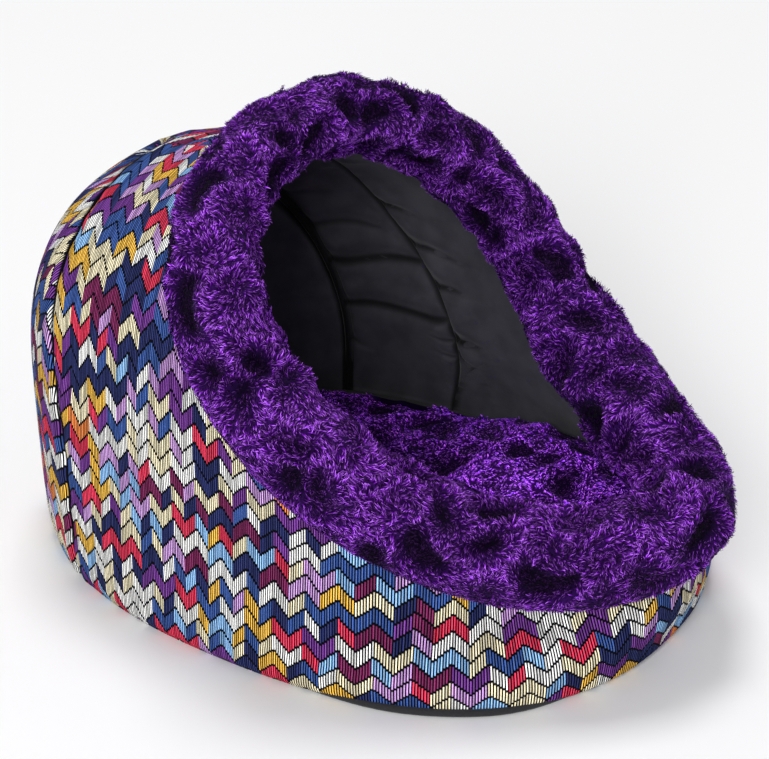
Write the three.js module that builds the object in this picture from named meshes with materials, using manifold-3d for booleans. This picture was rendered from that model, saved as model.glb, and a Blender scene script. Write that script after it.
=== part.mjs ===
// Hooded pet bed: padded outer cover, dark lining, plush rim bolster, floor cushion and base panel.
// Millimetres, +Z up, the mouth faces -Y, and the bed stands on Z = 0.
import * as THREE from 'three';
import { mergeVertices } from 'three/addons/utils/BufferGeometryUtils.js';
import loadManifold from 'manifold-3d';

// Driving dimensions. Angles round the bed are measured from the front centre.
const GAP = 0.3;
const DEGREE = Math.PI / 180;
const BACK = Math.PI;

// Centre line of the rim bolster, a scoop that runs low across the front and high over the roof.
const RIM = {
  halfWidth: 134,
  front: -217,
  top: 84,
  frontHeight: 88,
  topHeight: 285,
  steepness: 1.84,
  taper: -0.44,
  flare: 0.2,
  sideSag: 14,
  leanRight: 2,
};

// Bolster radius, pile included, at the front, on each side and over the roof.
const BOLSTER = { front: 33, left: 34.5, right: 28.5, top: 26.5 };

// Swirls of the plush: a staggered grid of hollows, each a few mesh steps wide.
const SWIRL = {
  rimColumns: 34,
  rimRows: 6,
  steps: 4,
  depth: 5,
  swell: 1.2,
  reach: 8.5,
  pitch: 30,
};

// Oval footprint, a superellipse.
const FOOT = { halfWidth: 182, front: -219, back: 247.4, power: 0.863 };

// The wall swells as it rises, then the back turns over into a short roof behind the rim.
const WALL = {
  sideSwell: 9,
  backSwell: 15,
  sideLift: 0.54,
  backLift: 1.07,
  sideReach: 0.35,
  roofReach: 129,
  roofLift: 0.84,
  roofForward: 0.6,
  turnStart: 0.55,
  seamDrop: 0.6,
  seamOut: 0.35,
  shoulderSwell: 0.3,
  thickness: 9,
  levelFoot: 0.2,
};

// Slight unevenness of the padding: waves round the bed and up the wall.
const UNEVEN = { height: 0.9, round: 5, up: 7, drift: 2, driftRound: 3, start: 1 };

// Arched seams, as an angle either side of the back and a share of the way up the wall.
const SEAM_POWER = 2.5;
const OUTER_SEAM = { angle: 59 * DEGREE, height: 0.65 };
const LINING_BACK_SEAM = { angle: 57 * DEGREE, height: 0.45 };
const LINING_FRONT_SEAM = { angle: 78 * DEGREE, height: 0.84 };
const SEAM_CLEARANCE = 0.002;
const SEAM_DIP = { depth: 2.2, width: 0.07, inside: 0.2 };

const LINING = {
  thickness: 2.5,
  standOff: 1.5,
  foldDepth: 2.6,
  folds: 26,
  slant: 1.5,
  frontFullness: 0.8,
  backFullness: 0.15,
};
const BASE = { thickness: 5, inset: 1.5, edge: 1.2 };
const CUSHION = {
  inset: 17,
  flat: 0.86,
  waistHeight: 11,
  topHeight: 27,
  lowerEdge: 0.96,
  crownPower: 2.4,
  crownFullness: 0.6,
  rowSpread: 1.15,
  swirlSteps: 2,
  softness: 0.6,
};

// Mesh steps of each panel: round the front, round the back arch, and up the wall.
const MESH = {
  outer: { front: 42, back: 28, rows: 10, backRows: 8 },
  lining: { front: 36, back: 36, rows: 6, band: 56, bandRows: 4, backPanel: 30, backRows: 5 },
  oval: 56,
  crownRows: 10,
};

const FINISH = {
  cloth: { color: 0x6a4a78, roughness: 0.9, metalness: 0 },
  lining: { color: 0x2c2c31, roughness: 0.85, metalness: 0 },
  plush: { color: 0x4b1c86, roughness: 1, metalness: 0 },
  base: { color: 0x17171a, roughness: 0.9, metalness: 0 },
};

const UP = new THREE.Vector3(0, 0, 1);
const STEP = 1e-3;
const wasm = await loadManifold();
wasm.setup();

function mix(a, b, t) {
  return a + (b - a) * t;
}

function smooth(from, to, value) {
  const t = THREE.MathUtils.clamp((value - from) / (to - from), 0, 1);
  return t * t * (3 - 2 * t);
}

function signedPower(value, power) {
  return Math.sign(value) * Math.abs(value) ** power;
}

// Share of the way from the front centre (0) to the back centre (1).
function backShare(angle) {
  return (1 - Math.cos(angle)) / 2;
}

// Each column is a ring of points that closes on itself. Columns wrap round, or the ends are capped.
function solidFromRings(columns, wrap) {
  const ringSize = columns[0].length;
  const corners = [];
  const addTriangle = (a, b, c) => corners.push(a, b, c);
  const spans = wrap ? columns.length : columns.length - 1;
  for (let i = 0; i < spans; i += 1) {
    const here = columns[i];
    const next = columns[(i + 1) % columns.length];
    for (let k = 0; k < ringSize; k += 1) {
      const after = (k + 1) % ringSize;
      addTriangle(here[k], next[k], next[after]);
      addTriangle(here[k], next[after], here[after]);
    }
  }
  if (!wrap) {
    capRing(columns[0], addTriangle, false);
    capRing(columns[columns.length - 1], addTriangle, true);
  }
  return closedGeometry(corners);
}

// A cut sheet's end is a strip from its outer face to its inner face.
function capRing(ring, addTriangle, reversed) {
  const last = ring.length - 1;
  for (let k = 0; k < ring.length / 2 - 1; k += 1) {
    const strip = [ring[k], ring[k + 1], ring[last - k - 1], ring[last - k]];
    if (reversed) strip.reverse();
    addTriangle(strip[0], strip[1], strip[2]);
    addTriangle(strip[0], strip[2], strip[3]);
  }
}

// Shared corners are merged, flat triangles dropped and the faces turned outward.
function closedGeometry(corners) {
  const loose = new THREE.BufferGeometry().setFromPoints(corners);
  const merged = mergeVertices(loose, 1e-4);
  const index = merged.getIndex().array;
  const triangles = [];
  for (let k = 0; k < index.length; k += 3) {
    const [a, b, c] = index.slice(k, k + 3);
    if (a !== b && b !== c && c !== a) triangles.push(a, b, c);
  }
  if (signedVolume(merged, triangles) < 0) triangles.reverse();
  merged.setIndex(triangles);
  merged.computeVertexNormals();
  return merged;
}

function signedVolume(geometry, triangles) {
  const position = geometry.getAttribute('position');
  const corner = (k) => new THREE.Vector3().fromBufferAttribute(position, triangles[k]);
  let volume = 0;
  for (let k = 0; k < triangles.length; k += 3) {
    volume += corner(k).dot(corner(k + 1).cross(corner(k + 2))) / 6;
  }
  return volume;
}

function cutAway(geometry, tool) {
  const toManifold = (source) => new wasm.Manifold(new wasm.Mesh({
    numProp: 3,
    vertProperties: new Float32Array(source.getAttribute('position').array),
    triVerts: new Uint32Array(source.getIndex().array),
  }));
  const cut = toManifold(geometry).subtract(toManifold(tool)).getMesh();
  const result = new THREE.BufferGeometry();
  result.setAttribute('position', new THREE.BufferAttribute(cut.vertProperties.slice(), 3));
  result.setIndex(Array.from(cut.triVerts));
  result.computeVertexNormals();
  return result;
}

// Rim bolster

function rimCentre(angle) {
  const c = Math.cos(angle);
  const share = backShare(angle);
  const width = RIM.halfWidth * (1 + RIM.taper * c + RIM.flare * c * c);
  return new THREE.Vector3(
    width * Math.sin(angle) + RIM.leanRight,
    mix(RIM.front, RIM.top, share),
    mix(RIM.frontHeight, RIM.topHeight, share ** RIM.steepness) - RIM.sideSag * 4 * share * (1 - share),
  );
}

function rimRadius(angle) {
  const share = backShare(angle);
  const onSide = 4 * share * (1 - share);
  const side = Math.sin(angle) > 0 ? BOLSTER.right : BOLSTER.left;
  return mix(mix(BOLSTER.front, BOLSTER.top, share), side, onSide);
}

// Directions across the bolster: away from the mouth's centre, and through the mouth.
function rimFrame(angle) {
  const along = rimCentre(angle + STEP).sub(rimCentre(angle - STEP)).normalize();
  const mouthHeight = (RIM.frontHeight + RIM.topHeight) / 2;
  const mouth = new THREE.Vector3(RIM.leanRight, (RIM.front + RIM.top) / 2, mouthHeight);
  const away = rimCentre(angle).sub(mouth);
  away.addScaledVector(along, -away.dot(along)).normalize();
  const through = new THREE.Vector3().crossVectors(along, away);
  return { away, through };
}

// The plush hollows, as a depth, at a place counted in swirls along and across.
function swirlRelief(along, across) {
  const column = Math.round(along);
  const shift = column % 2 ? 0.5 : 0;
  const row = Math.round(across - shift) + shift;
  const distance = Math.hypot(along - column, across - row) * SWIRL.pitch;
  const dent = Math.exp(-((distance / SWIRL.reach) ** 2));
  return SWIRL.swell - (SWIRL.depth + SWIRL.swell) * dent;
}

// Plain where the bolster is sewn to the wall, swirled everywhere else.
function bolsterGeometry(extra, steps) {
  const columns = [];
  const columnCount = SWIRL.rimColumns * steps;
  const ringSize = SWIRL.rimRows * SWIRL.steps;
  for (let i = 0; i < columnCount; i += 1) {
    const angle = (2 * Math.PI * i) / columnCount;
    const centre = rimCentre(angle);
    const { away, through } = rimFrame(angle);
    const toSeam = wallCurve(angle).seam.clone().sub(centre).normalize();
    const ring = [];
    for (let k = 0; k < ringSize; k += 1) {
      const turn = (2 * Math.PI * k) / ringSize;
      const direction = away.clone().multiplyScalar(Math.cos(turn));
      direction.addScaledVector(through, Math.sin(turn));
      const open = 1 - smooth(0.35, 0.8, direction.dot(toSeam));
      const relief = swirlRelief(i / steps, k / SWIRL.steps) * open;
      const radius = rimRadius(angle) - SWIRL.swell + relief + extra;
      ring.push(centre.clone().addScaledVector(direction, radius));
    }
    columns.push(ring);
  }
  return solidFromRings(columns, true);
}

// Wall surface, from the foot up to the seam under the bolster

function footLine(angle, inset, height) {
  const middle = (FOOT.front + FOOT.back) / 2;
  const halfLength = (FOOT.back - FOOT.front) / 2 - inset;
  return new THREE.Vector3(
    (FOOT.halfWidth - inset) * signedPower(Math.sin(angle), FOOT.power),
    middle - halfLength * signedPower(Math.cos(angle), FOOT.power),
    height,
  );
}

function wallCurve(angle) {
  const foot = footLine(angle, 0, BASE.thickness + GAP);
  const share = backShare(angle);
  const turned = smooth(WALL.turnStart, 1, share);
  const outward = foot.clone().setZ(0);
  outward.y -= (FOOT.front + FOOT.back) / 2;
  outward.normalize();
  const arrive = UP.clone().multiplyScalar(mix(1, WALL.roofLift, turned));
  arrive.addScaledVector(outward, -turned);
  arrive.y -= WALL.roofForward * turned;
  arrive.normalize();
  const radius = rimRadius(angle);
  const seam = rimCentre(angle).addScaledVector(arrive, -WALL.seamDrop * radius);
  seam.addScaledVector(rimFrame(angle).away, WALL.seamOut * radius * (1 - turned));
  const swell = mix(WALL.sideSwell, WALL.backSwell, turned);
  const lift = foot.clone().addScaledVector(outward, swell);
  lift.addScaledVector(UP, seam.z * mix(WALL.sideLift, WALL.backLift, turned));
  const reachLength = mix(WALL.sideReach * seam.z, WALL.roofReach, turned);
  const reach = seam.clone().addScaledVector(arrive, -reachLength);
  reach.addScaledVector(outward, WALL.shoulderSwell * swell * (1 - turned));
  return { foot, lift, reach, seam };
}

function wallFace(angle, rise) {
  const { foot, lift, reach, seam } = wallCurve(angle);
  const fall = 1 - rise;
  const point = foot.multiplyScalar(fall ** 3);
  point.addScaledVector(lift, 3 * rise * fall * fall);
  point.addScaledVector(reach, 3 * rise * rise * fall);
  return point.addScaledVector(seam, rise ** 3);
}

function unevenness(angle, rise) {
  const drift = UNEVEN.drift * Math.sin(UNEVEN.driftRound * angle);
  return UNEVEN.height * Math.sin(UNEVEN.round * angle + UNEVEN.start) * Math.sin(UNEVEN.up * rise + drift);
}

// A point a given depth inside the outer face. The foot stays level so that the wall stands flat.
function wallPoint(angle, rise, depth) {
  const round = wallFace(angle + STEP, rise).sub(wallFace(angle - STEP, rise));
  const upward = wallFace(angle, rise + STEP).sub(wallFace(angle, rise - STEP));
  const outward = round.cross(upward);
  const tilt = smooth(0, WALL.levelFoot, rise);
  outward.z *= tilt;
  outward.normalize();
  return wallFace(angle, rise).addScaledVector(outward, tilt * unevenness(angle, rise) - depth);
}

// Panels of the cover and lining

// Place on an arched seam, from one foot of the arch (-1) over the back (0) to the other (1).
function archPlace(seam, along, scale) {
  const turn = (along * Math.PI) / 2;
  return {
    angle: BACK + seam.angle * scale * signedPower(Math.sin(turn), 2 / SEAM_POWER),
    rise: seam.height * scale * Math.max(Math.cos(turn), 0) ** (2 / SEAM_POWER),
  };
}

// A sheet's ring runs up its outer face and back down its inner face.
function sheetColumn(rows, place, outerDepth, innerDepth) {
  const ring = [];
  for (let j = 0; j <= rows; j += 1) {
    const { angle, rise } = place(j / rows);
    ring.push(wallPoint(angle, rise, outerDepth(angle, rise, j / rows)));
  }
  for (let j = rows; j >= 0; j -= 1) {
    const { angle, rise } = place(j / rows);
    ring.push(wallPoint(angle, rise, innerDepth(angle, rise, j / rows)));
  }
  return ring;
}

// A panel all round the bed, above the arched seam at the back and down to the foot elsewhere.
function roundPanel(seam, steps, outerDepth, innerDepth) {
  const lower = [];
  for (let i = 0; i < steps.back; i += 1) {
    lower.push(archPlace(seam, (2 * i) / steps.back - 1, 1 + SEAM_CLEARANCE));
  }
  const start = BACK + seam.angle * (1 + SEAM_CLEARANCE);
  const sweep = 2 * (Math.PI - seam.angle * (1 + SEAM_CLEARANCE));
  for (let i = 0; i < steps.front; i += 1) {
    lower.push({ angle: start + (sweep * i) / steps.front, rise: 0 });
  }
  const columns = lower.map(({ angle, rise }) => {
    const place = (share) => ({ angle, rise: mix(rise, 1, share) });
    return sheetColumn(steps.rows, place, outerDepth, innerDepth);
  });
  return solidFromRings(columns, true);
}

// The arched panel at the back, fanned out from the middle of its foot.
function backPanel(seam, columnCount, rows, outerDepth, innerDepth) {
  const columns = [];
  for (let i = 0; i <= columnCount; i += 1) {
    const edge = archPlace(seam, (2 * i) / columnCount - 1, 1 - SEAM_CLEARANCE);
    const place = (share) => ({ angle: mix(BACK, edge.angle, share), rise: edge.rise * share });
    columns.push(sheetColumn(rows, place, outerDepth, innerDepth));
  }
  return solidFromRings(columns, false);
}

// A band between two arched seams.
function bandPanel(backSeam, frontSeam, outerDepth, innerDepth) {
  const columns = [];
  for (let i = 0; i <= MESH.lining.band; i += 1) {
    const along = (2 * i) / MESH.lining.band - 1;
    const from = archPlace(backSeam, along, 1 + SEAM_CLEARANCE);
    const to = archPlace(frontSeam, along, 1 - SEAM_CLEARANCE);
    const place = (share) => ({
      angle: mix(from.angle, to.angle, share),
      rise: mix(from.rise, to.rise, share),
    });
    columns.push(sheetColumn(MESH.lining.bandRows, place, outerDepth, innerDepth));
  }
  return solidFromRings(columns, false);
}

// Cloth is drawn in beside the back seam. The share is the distance from the seam across the panel.
function seamDip(share) {
  return SEAM_DIP.depth * Math.exp(-((share / SEAM_DIP.width) ** 2));
}

function nearArch(angle, seam) {
  const fromBack = Math.abs(Math.PI - (((angle % (2 * Math.PI)) + 2 * Math.PI) % (2 * Math.PI)));
  return 1 - smooth(0.97, 1.03, fromBack / seam.angle);
}

function outerMainPanel() {
  const dip = (angle, share) => seamDip(share) * nearArch(angle, OUTER_SEAM);
  const outer = (angle, rise, share) => dip(angle, share);
  const inner = (angle, rise, share) => WALL.thickness + SEAM_DIP.inside * dip(angle, share);
  const panel = roundPanel(OUTER_SEAM, MESH.outer, outer, inner);
  return cutAway(panel, bolsterGeometry(2 * GAP, SWIRL.steps / 2));
}

function outerBackPanel() {
  const outer = (angle, rise, share) => seamDip(1 - share);
  const inner = (angle, rise, share) => WALL.thickness + SEAM_DIP.inside * seamDip(1 - share);
  return backPanel(OUTER_SEAM, MESH.outer.back, MESH.outer.backRows, outer, inner);
}

// Lining folds stand off the wall toward the inside, fullest beside the gathered seam.
function liningDepth(face, fullnessAt) {
  const wallSide = WALL.thickness + LINING.standOff;
  return (angle, rise, share) => {
    const wave = 0.5 + 0.5 * Math.sin(LINING.folds * (angle + LINING.slant * rise));
    return wallSide + face * LINING.thickness + LINING.foldDepth * wave * fullnessAt(share);
  };
}

function liningFrontBand() {
  const full = (share) => LINING.frontFullness * (1 - smooth(0, 0.5, share));
  const panel = roundPanel(LINING_FRONT_SEAM, MESH.lining, liningDepth(0, full), liningDepth(1, full));
  return cutAway(panel, bolsterGeometry(2 * GAP, SWIRL.steps / 2));
}

function liningMiddleBand() {
  const full = (share) => smooth(0.1, 1, share);
  return bandPanel(LINING_BACK_SEAM, LINING_FRONT_SEAM, liningDepth(0, full), liningDepth(1, full));
}

function liningBackPanel() {
  const full = (share) => LINING.backFullness * share;
  const { backPanel: columns, backRows } = MESH.lining;
  return backPanel(LINING_BACK_SEAM, columns, backRows, liningDepth(0, full), liningDepth(1, full));
}

// Cushion and base

// Rings run from the middle of the underside, round the edge, to the middle of the top.
function floorCushion() {
  const bottomHeight = BASE.thickness + GAP;
  const middle = new THREE.Vector3(0, (FOOT.front + FOOT.back) / 2, 0);
  const profile = [
    { share: 0, height: bottomHeight },
    { share: CUSHION.flat, height: bottomHeight },
    { share: CUSHION.lowerEdge, height: mix(bottomHeight, CUSHION.waistHeight, 0.4) },
    { share: 1, height: CUSHION.waistHeight },
  ];
  for (let j = 1; j <= MESH.crownRows; j += 1) {
    const share = 1 - (j / MESH.crownRows) ** CUSHION.rowSpread;
    const crown = (1 - share ** CUSHION.crownPower) ** CUSHION.crownFullness;
    profile.push({ share, height: mix(CUSHION.waistHeight, CUSHION.topHeight, crown), top: true });
  }
  const columns = [];
  for (let i = 0; i < MESH.oval; i += 1) {
    const angle = (2 * Math.PI * i) / MESH.oval;
    const edge = footLine(angle, CUSHION.inset, 0);
    columns.push(profile.map(({ share, height, top }, row) => {
      const point = middle.clone().lerp(edge, share).setZ(height);
      const puff = top ? swirlRelief(row / CUSHION.swirlSteps, i / CUSHION.swirlSteps) : 0;
      return point.addScaledVector(UP, puff * CUSHION.softness * smooth(0.05, 0.3, share));
    }));
  }
  return solidFromRings(columns, true);
}

function basePanel() {
  const columns = [];
  const middleY = (FOOT.front + FOOT.back) / 2;
  for (let i = 0; i < MESH.oval; i += 1) {
    const angle = (2 * Math.PI * i) / MESH.oval;
    columns.push([
      new THREE.Vector3(0, middleY, 0),
      footLine(angle, BASE.inset + BASE.edge, 0),
      footLine(angle, BASE.inset, BASE.edge),
      footLine(angle, BASE.inset, BASE.thickness),
      new THREE.Vector3(0, middleY, BASE.thickness),
    ]);
  }
  return solidFromRings(columns, true);
}

const bed = new THREE.Group();

function addPiece(name, geometry, finish) {
  const piece = new THREE.Mesh(geometry, new THREE.MeshStandardMaterial(finish));
  piece.name = name;
  bed.add(piece);
}

addPiece('outer_main_panel', outerMainPanel(), FINISH.cloth);
addPiece('outer_back_panel', outerBackPanel(), FINISH.cloth);
addPiece('lining_front_band', liningFrontBand(), FINISH.lining);
addPiece('lining_middle_band', liningMiddleBand(), FINISH.lining);
addPiece('lining_back_panel', liningBackPanel(), FINISH.lining);
addPiece('rim_bolster', bolsterGeometry(0, SWIRL.steps), FINISH.plush);
addPiece('floor_cushion', floorCushion(), FINISH.plush);
addPiece('base_panel', basePanel(), FINISH.base);

export default bed;
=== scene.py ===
# %% [markdown]
# # A hooded pet bed
# The bed is a soft cave. A padded wall of ribbed zigzag cloth stands on a flat dark base and turns over at
# the back into a short roof. A fat roll of violet plush runs round the tilted mouth. Inside are a dark
# cotton lining and a crowned plush cushion. The solid model gives the frame, and this file dresses it.

# %% Load the frame
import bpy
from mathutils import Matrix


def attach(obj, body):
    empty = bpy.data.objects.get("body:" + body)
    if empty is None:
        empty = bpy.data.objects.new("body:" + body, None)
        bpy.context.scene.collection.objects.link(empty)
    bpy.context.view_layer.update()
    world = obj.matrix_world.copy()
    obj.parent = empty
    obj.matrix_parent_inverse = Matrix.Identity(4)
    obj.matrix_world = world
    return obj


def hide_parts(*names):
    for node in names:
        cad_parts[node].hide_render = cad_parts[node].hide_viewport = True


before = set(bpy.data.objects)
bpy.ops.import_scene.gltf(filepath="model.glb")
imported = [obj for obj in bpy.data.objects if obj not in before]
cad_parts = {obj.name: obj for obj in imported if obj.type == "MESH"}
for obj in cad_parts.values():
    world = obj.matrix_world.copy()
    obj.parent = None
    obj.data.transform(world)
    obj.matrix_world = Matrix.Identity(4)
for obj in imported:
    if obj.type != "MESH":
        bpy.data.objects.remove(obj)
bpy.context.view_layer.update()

import math

import bpy
import numpy as np
from mathutils import Vector

MM = 0.001
print("frame nodes:", sorted(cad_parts))

# %% [markdown]
# ## Camera
# The camera stands in front of the bed's left side and looks down by 29 degrees, from far enough to keep
# the perspective gentle. A long lens with a small shift frames the bed as a product shot does.

# %% Camera
IMAGE_WIDTH = 769
FOCAL_PIXELS = 2565
TURN = math.radians(-55.383)
TILT = math.radians(29.073)
LOOK_AT = Vector((0, 0.0075, 0.135))
DISTANCE = 1.710

camera_data = bpy.data.cameras.new("photo_camera")
camera_data.sensor_width = 36
camera_data.lens = 36 * FOCAL_PIXELS / IMAGE_WIDTH
camera_data.shift_x = 0.0057
camera_data.shift_y = -0.0189
camera = bpy.data.objects.new("photo_camera", camera_data)
bpy.context.scene.collection.objects.link(camera)
back = Vector((math.sin(TURN) * math.cos(TILT), -math.cos(TURN) * math.cos(TILT), math.sin(TILT)))
camera.location = LOOK_AT + back * DISTANCE
camera.rotation_mode = "QUATERNION"
camera.rotation_quaternion = (-back).to_track_quat("-Z", "Y")
bpy.context.scene.camera = camera
print("camera at", tuple(round(value, 3) for value in camera.location), "lens", round(camera_data.lens, 1))

# %% [markdown]
# ## Studio
# A pale floor, an even room and two large soft lamps give the soft shadow of a product shot. The main lamp
# hangs high behind the bed, so its shadow falls forward and a little to the right. The second stands lower,
# to the left of the camera. It lights the front wall and reaches the lining through the mouth.

# %% Studio room and lamps
scene = bpy.context.scene
scene.view_settings.view_transform = "Standard"
world = bpy.data.worlds.new("studio_room")
world.use_nodes = True
world.node_tree.nodes["Background"].inputs["Color"].default_value = (1, 1, 1, 1)
world.node_tree.nodes["Background"].inputs["Strength"].default_value = 0.40
scene.world = world


def soft_lamp(name, place, aim, side, power):
    lamp = bpy.data.lights.new(name, "AREA")
    lamp.size = side
    lamp.energy = power
    lamp_object = bpy.data.objects.new(name, lamp)
    lamp_object.location = place
    lamp_object.rotation_euler = (Vector(aim) - Vector(place)).to_track_quat("-Z", "Y").to_euler()
    scene.collection.objects.link(lamp_object)


soft_lamp("main_lamp", (1.3, 1.3, 5.6), (0, 0, 0.12), 1.9, 146)
soft_lamp("front_lamp", (-4.3, -1.5, 2.7), (0, 0, 0.1), 2.2, 156)

# %% [markdown]
# ## Small tools for arrays
# Every piece here is worked out as arrays of points and then turned into a mesh in one go, because that
# is far quicker than adding corners one at a time. These helpers blend values, ease between two limits,
# draw a bell curve, bring vectors to length one, add up the length of a line and repeat a column in rows.

# %% Array tools
def mix(first, second, share):
    return first + (second - first) * share


def ease(start, end, value):
    share = np.clip((value - start) / (end - start), 0, 1)
    return share * share * (3 - 2 * share)


def bell(value, width):
    return np.exp(-((value / width) ** 2))


def unit(vectors):
    return vectors / np.maximum(np.linalg.norm(vectors, axis=-1, keepdims=True), 1e-12)


def dot(first, second):
    return np.sum(first * second, axis=-1, keepdims=True)


def signed_power(value, power):
    return np.sign(value) * np.abs(value) ** power


def lengths_along(line):
    return np.concatenate([[0], np.cumsum(np.linalg.norm(np.diff(line, axis=0), axis=1))])


def in_rows(values, rows):
    return np.repeat(values[:, None], rows, axis=1)


# %% [markdown]
# ## Building a mesh from arrays
# A mesh is a list of points, a list of face corners and, for cloth, a flat place on the weave for each
# corner. Blender takes whole arrays with foreach_set. The flat place goes in a UV layer in metres, so the
# zigzag keeps its real size.

# %% Mesh maker
def mesh_piece(name, points, faces, flat=None):
    if isinstance(faces, list):
        sizes = np.array([len(face) for face in faces])
        corners = np.concatenate(faces)
    else:
        sizes = np.full(len(faces), faces.shape[1])
        corners = faces.ravel()
    mesh = bpy.data.meshes.new(name)
    mesh.vertices.add(len(points))
    mesh.vertices.foreach_set("co", np.ascontiguousarray(points, dtype=np.float32).ravel())
    mesh.loops.add(len(corners))
    mesh.polygons.add(len(sizes))
    mesh.loops.foreach_set("vertex_index", corners.astype(np.int32))
    mesh.polygons.foreach_set("loop_start", (np.cumsum(sizes) - sizes).astype(np.int32))
    if flat is not None:
        layer = mesh.uv_layers.new(name="cloth")
        layer.uv.foreach_set("vector", np.ascontiguousarray(flat, dtype=np.float32).ravel())
    mesh.update(calc_edges=True)
    mesh.shade_smooth()
    piece = bpy.data.objects.new(name, mesh)
    scene.collection.objects.link(piece)
    return piece


def mesh_vectors(mesh, kind):
    values = np.empty(3 * len(mesh.vertices), dtype=np.float32)
    mesh.vertices.foreach_get(kind, values)
    return values.reshape(-1, 3).astype(float)


def mark_points(piece, name, values):
    layer = piece.data.attributes.new(name, "FLOAT", "POINT")
    layer.data.foreach_set("value", np.asarray(values, dtype=np.float32).ravel())


def surface_area(piece):
    areas = np.empty(len(piece.data.polygons), dtype=np.float32)
    piece.data.polygons.foreach_get("area", areas)
    return float(areas.sum())


def triangle_count(piece):
    return len(piece.data.loops) - 2 * len(piece.data.polygons)


# %% [markdown]
# ## Floor
# A wide plain sheet of studio paper carries the bed. It belongs to the stage and not to the part.

# %% Floor
FLOOR_HALF = 9.0
floor_corners = FLOOR_HALF * np.array([[-1, -1, 0], [1, -1, 0], [1, 1, 0], [-1, 1, 0]])
floor = mesh_piece("studio_floor", floor_corners, np.array([[0, 1, 2, 3]]))
paper = bpy.data.materials.new("studio_paper")
paper.use_nodes = True
paper_shader = paper.node_tree.nodes["Principled BSDF"]
paper_shader.inputs["Base Color"].default_value = (0.93, 0.93, 0.94, 1)
paper_shader.inputs["Roughness"].default_value = 0.9
paper_shader.inputs["Specular IOR Level"].default_value = 0.1
floor.data.materials.append(paper)
print("floor laid")

# %% [markdown]
# ## Shape of the rim
# The plush roll follows a closed line: low across the front, up both sides and high over the roof. Angles
# run round the bed from the front centre. At each angle two directions span the roll's round section, one
# away from the mouth's centre and one through the mouth.

# %% Rim line
RIM_HALF_WIDTH = 0.134
RIM_OFF_MIDDLE = 0.002
RIM_FRONT, RIM_BACK = -0.217, 0.084
RIM_LOW, RIM_HIGH = 0.088, 0.285
RIM_SAG = 0.056
MOUTH_CENTRE = np.array([RIM_OFF_MIDDLE, -0.0665, 0.1865])
RADIUS_FRONT, RADIUS_BACK = 0.033, 0.0265
RADIUS_RIGHT, RADIUS_LEFT = 0.0285, 0.0345


def back_share(angle):
    return (1 - np.cos(angle)) / 2


def rim_centre(angle):
    share = back_share(angle)
    width = RIM_HALF_WIDTH * (1 - 0.44 * np.cos(angle) + 0.2 * np.cos(angle) ** 2)
    across = width * np.sin(angle) + RIM_OFF_MIDDLE
    depth = mix(RIM_FRONT, RIM_BACK, share)
    height = mix(RIM_LOW, RIM_HIGH, share**1.84) - RIM_SAG * share * (1 - share)
    return np.stack([across, depth, height], axis=-1)


def rim_radius(angle):
    share = back_share(angle)
    side = np.where(np.sin(angle) > 0, RADIUS_RIGHT, RADIUS_LEFT)
    return mix(mix(RADIUS_FRONT, RADIUS_BACK, share), side, 4 * share * (1 - share))


def rim_directions(angle):
    along = unit(rim_centre(angle + 1e-3) - rim_centre(angle - 1e-3))
    away = rim_centre(angle) - MOUTH_CENTRE
    away = unit(away - along * dot(away, along))
    return along, away, np.cross(along, away)


rim_angles = np.linspace(0, 2 * np.pi, 2001)
rim_lengths = lengths_along(rim_centre(rim_angles))
RIM_LENGTH = rim_lengths[-1]
print("rim centre line:", round(RIM_LENGTH, 3), "m long")

# %% [markdown]
# ## Shape of the wall
# The wall starts on an oval foot, swells a little as it rises and meets the roll from below. At the back
# it turns over into the roof. Each upright line is one smooth curve from foot to roll, drawn by two guide
# points between them. The outer cloth lies on this face and the lining a set depth inside it.

# %% Wall face
FOOT_FRONT, FOOT_BACK = -0.219, 0.2474
FOOT_MIDDLE = (FOOT_FRONT + FOOT_BACK) / 2
FOOT_LENGTH = (FOOT_BACK - FOOT_FRONT) / 2
FOOT_WIDTH = 0.182
FOOT_ROUNDNESS = 0.863
FOOT_HEIGHT = 0.0053
WALL_WAVE = 0.9 * MM
UP = np.array([0.0, 0.0, 1.0])


def foot_line(angle, inset, height):
    across = (FOOT_WIDTH - inset) * signed_power(np.sin(angle), FOOT_ROUNDNESS)
    depth = FOOT_MIDDLE - (FOOT_LENGTH - inset) * signed_power(np.cos(angle), FOOT_ROUNDNESS)
    return np.stack([across, depth, np.broadcast_to(height, across.shape)], axis=-1)


def wall_guides(angle):
    foot = foot_line(angle, 0.0, FOOT_HEIGHT)
    turned = ease(0.55, 1, back_share(angle))[..., None]
    outward = unit((foot - [0, FOOT_MIDDLE, 0]) * [1, 1, 0])
    arrive = unit(UP * mix(1, 0.84, turned) - outward * turned - np.array([0, 0.6, 0]) * turned)
    radius = rim_radius(angle)[..., None]
    away = rim_directions(angle)[1]
    seam = rim_centre(angle) - arrive * 0.6 * radius + away * 0.35 * radius * (1 - turned)
    swell = mix(0.009, 0.015, turned)
    seam_height = seam[..., 2:3]
    lift = foot + outward * swell + UP * seam_height * mix(0.54, 1.07, turned)
    reach = seam - arrive * mix(0.35 * seam_height, 0.129, turned) + outward * 0.3 * swell * (1 - turned)
    return foot, lift, reach, seam


def wall_face(angle, rise):
    foot, lift, reach, seam = wall_guides(angle)
    up = rise[..., None]
    down = 1 - up
    return foot * down**3 + 3 * lift * up * down**2 + 3 * reach * up**2 * down + seam * up**3


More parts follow.
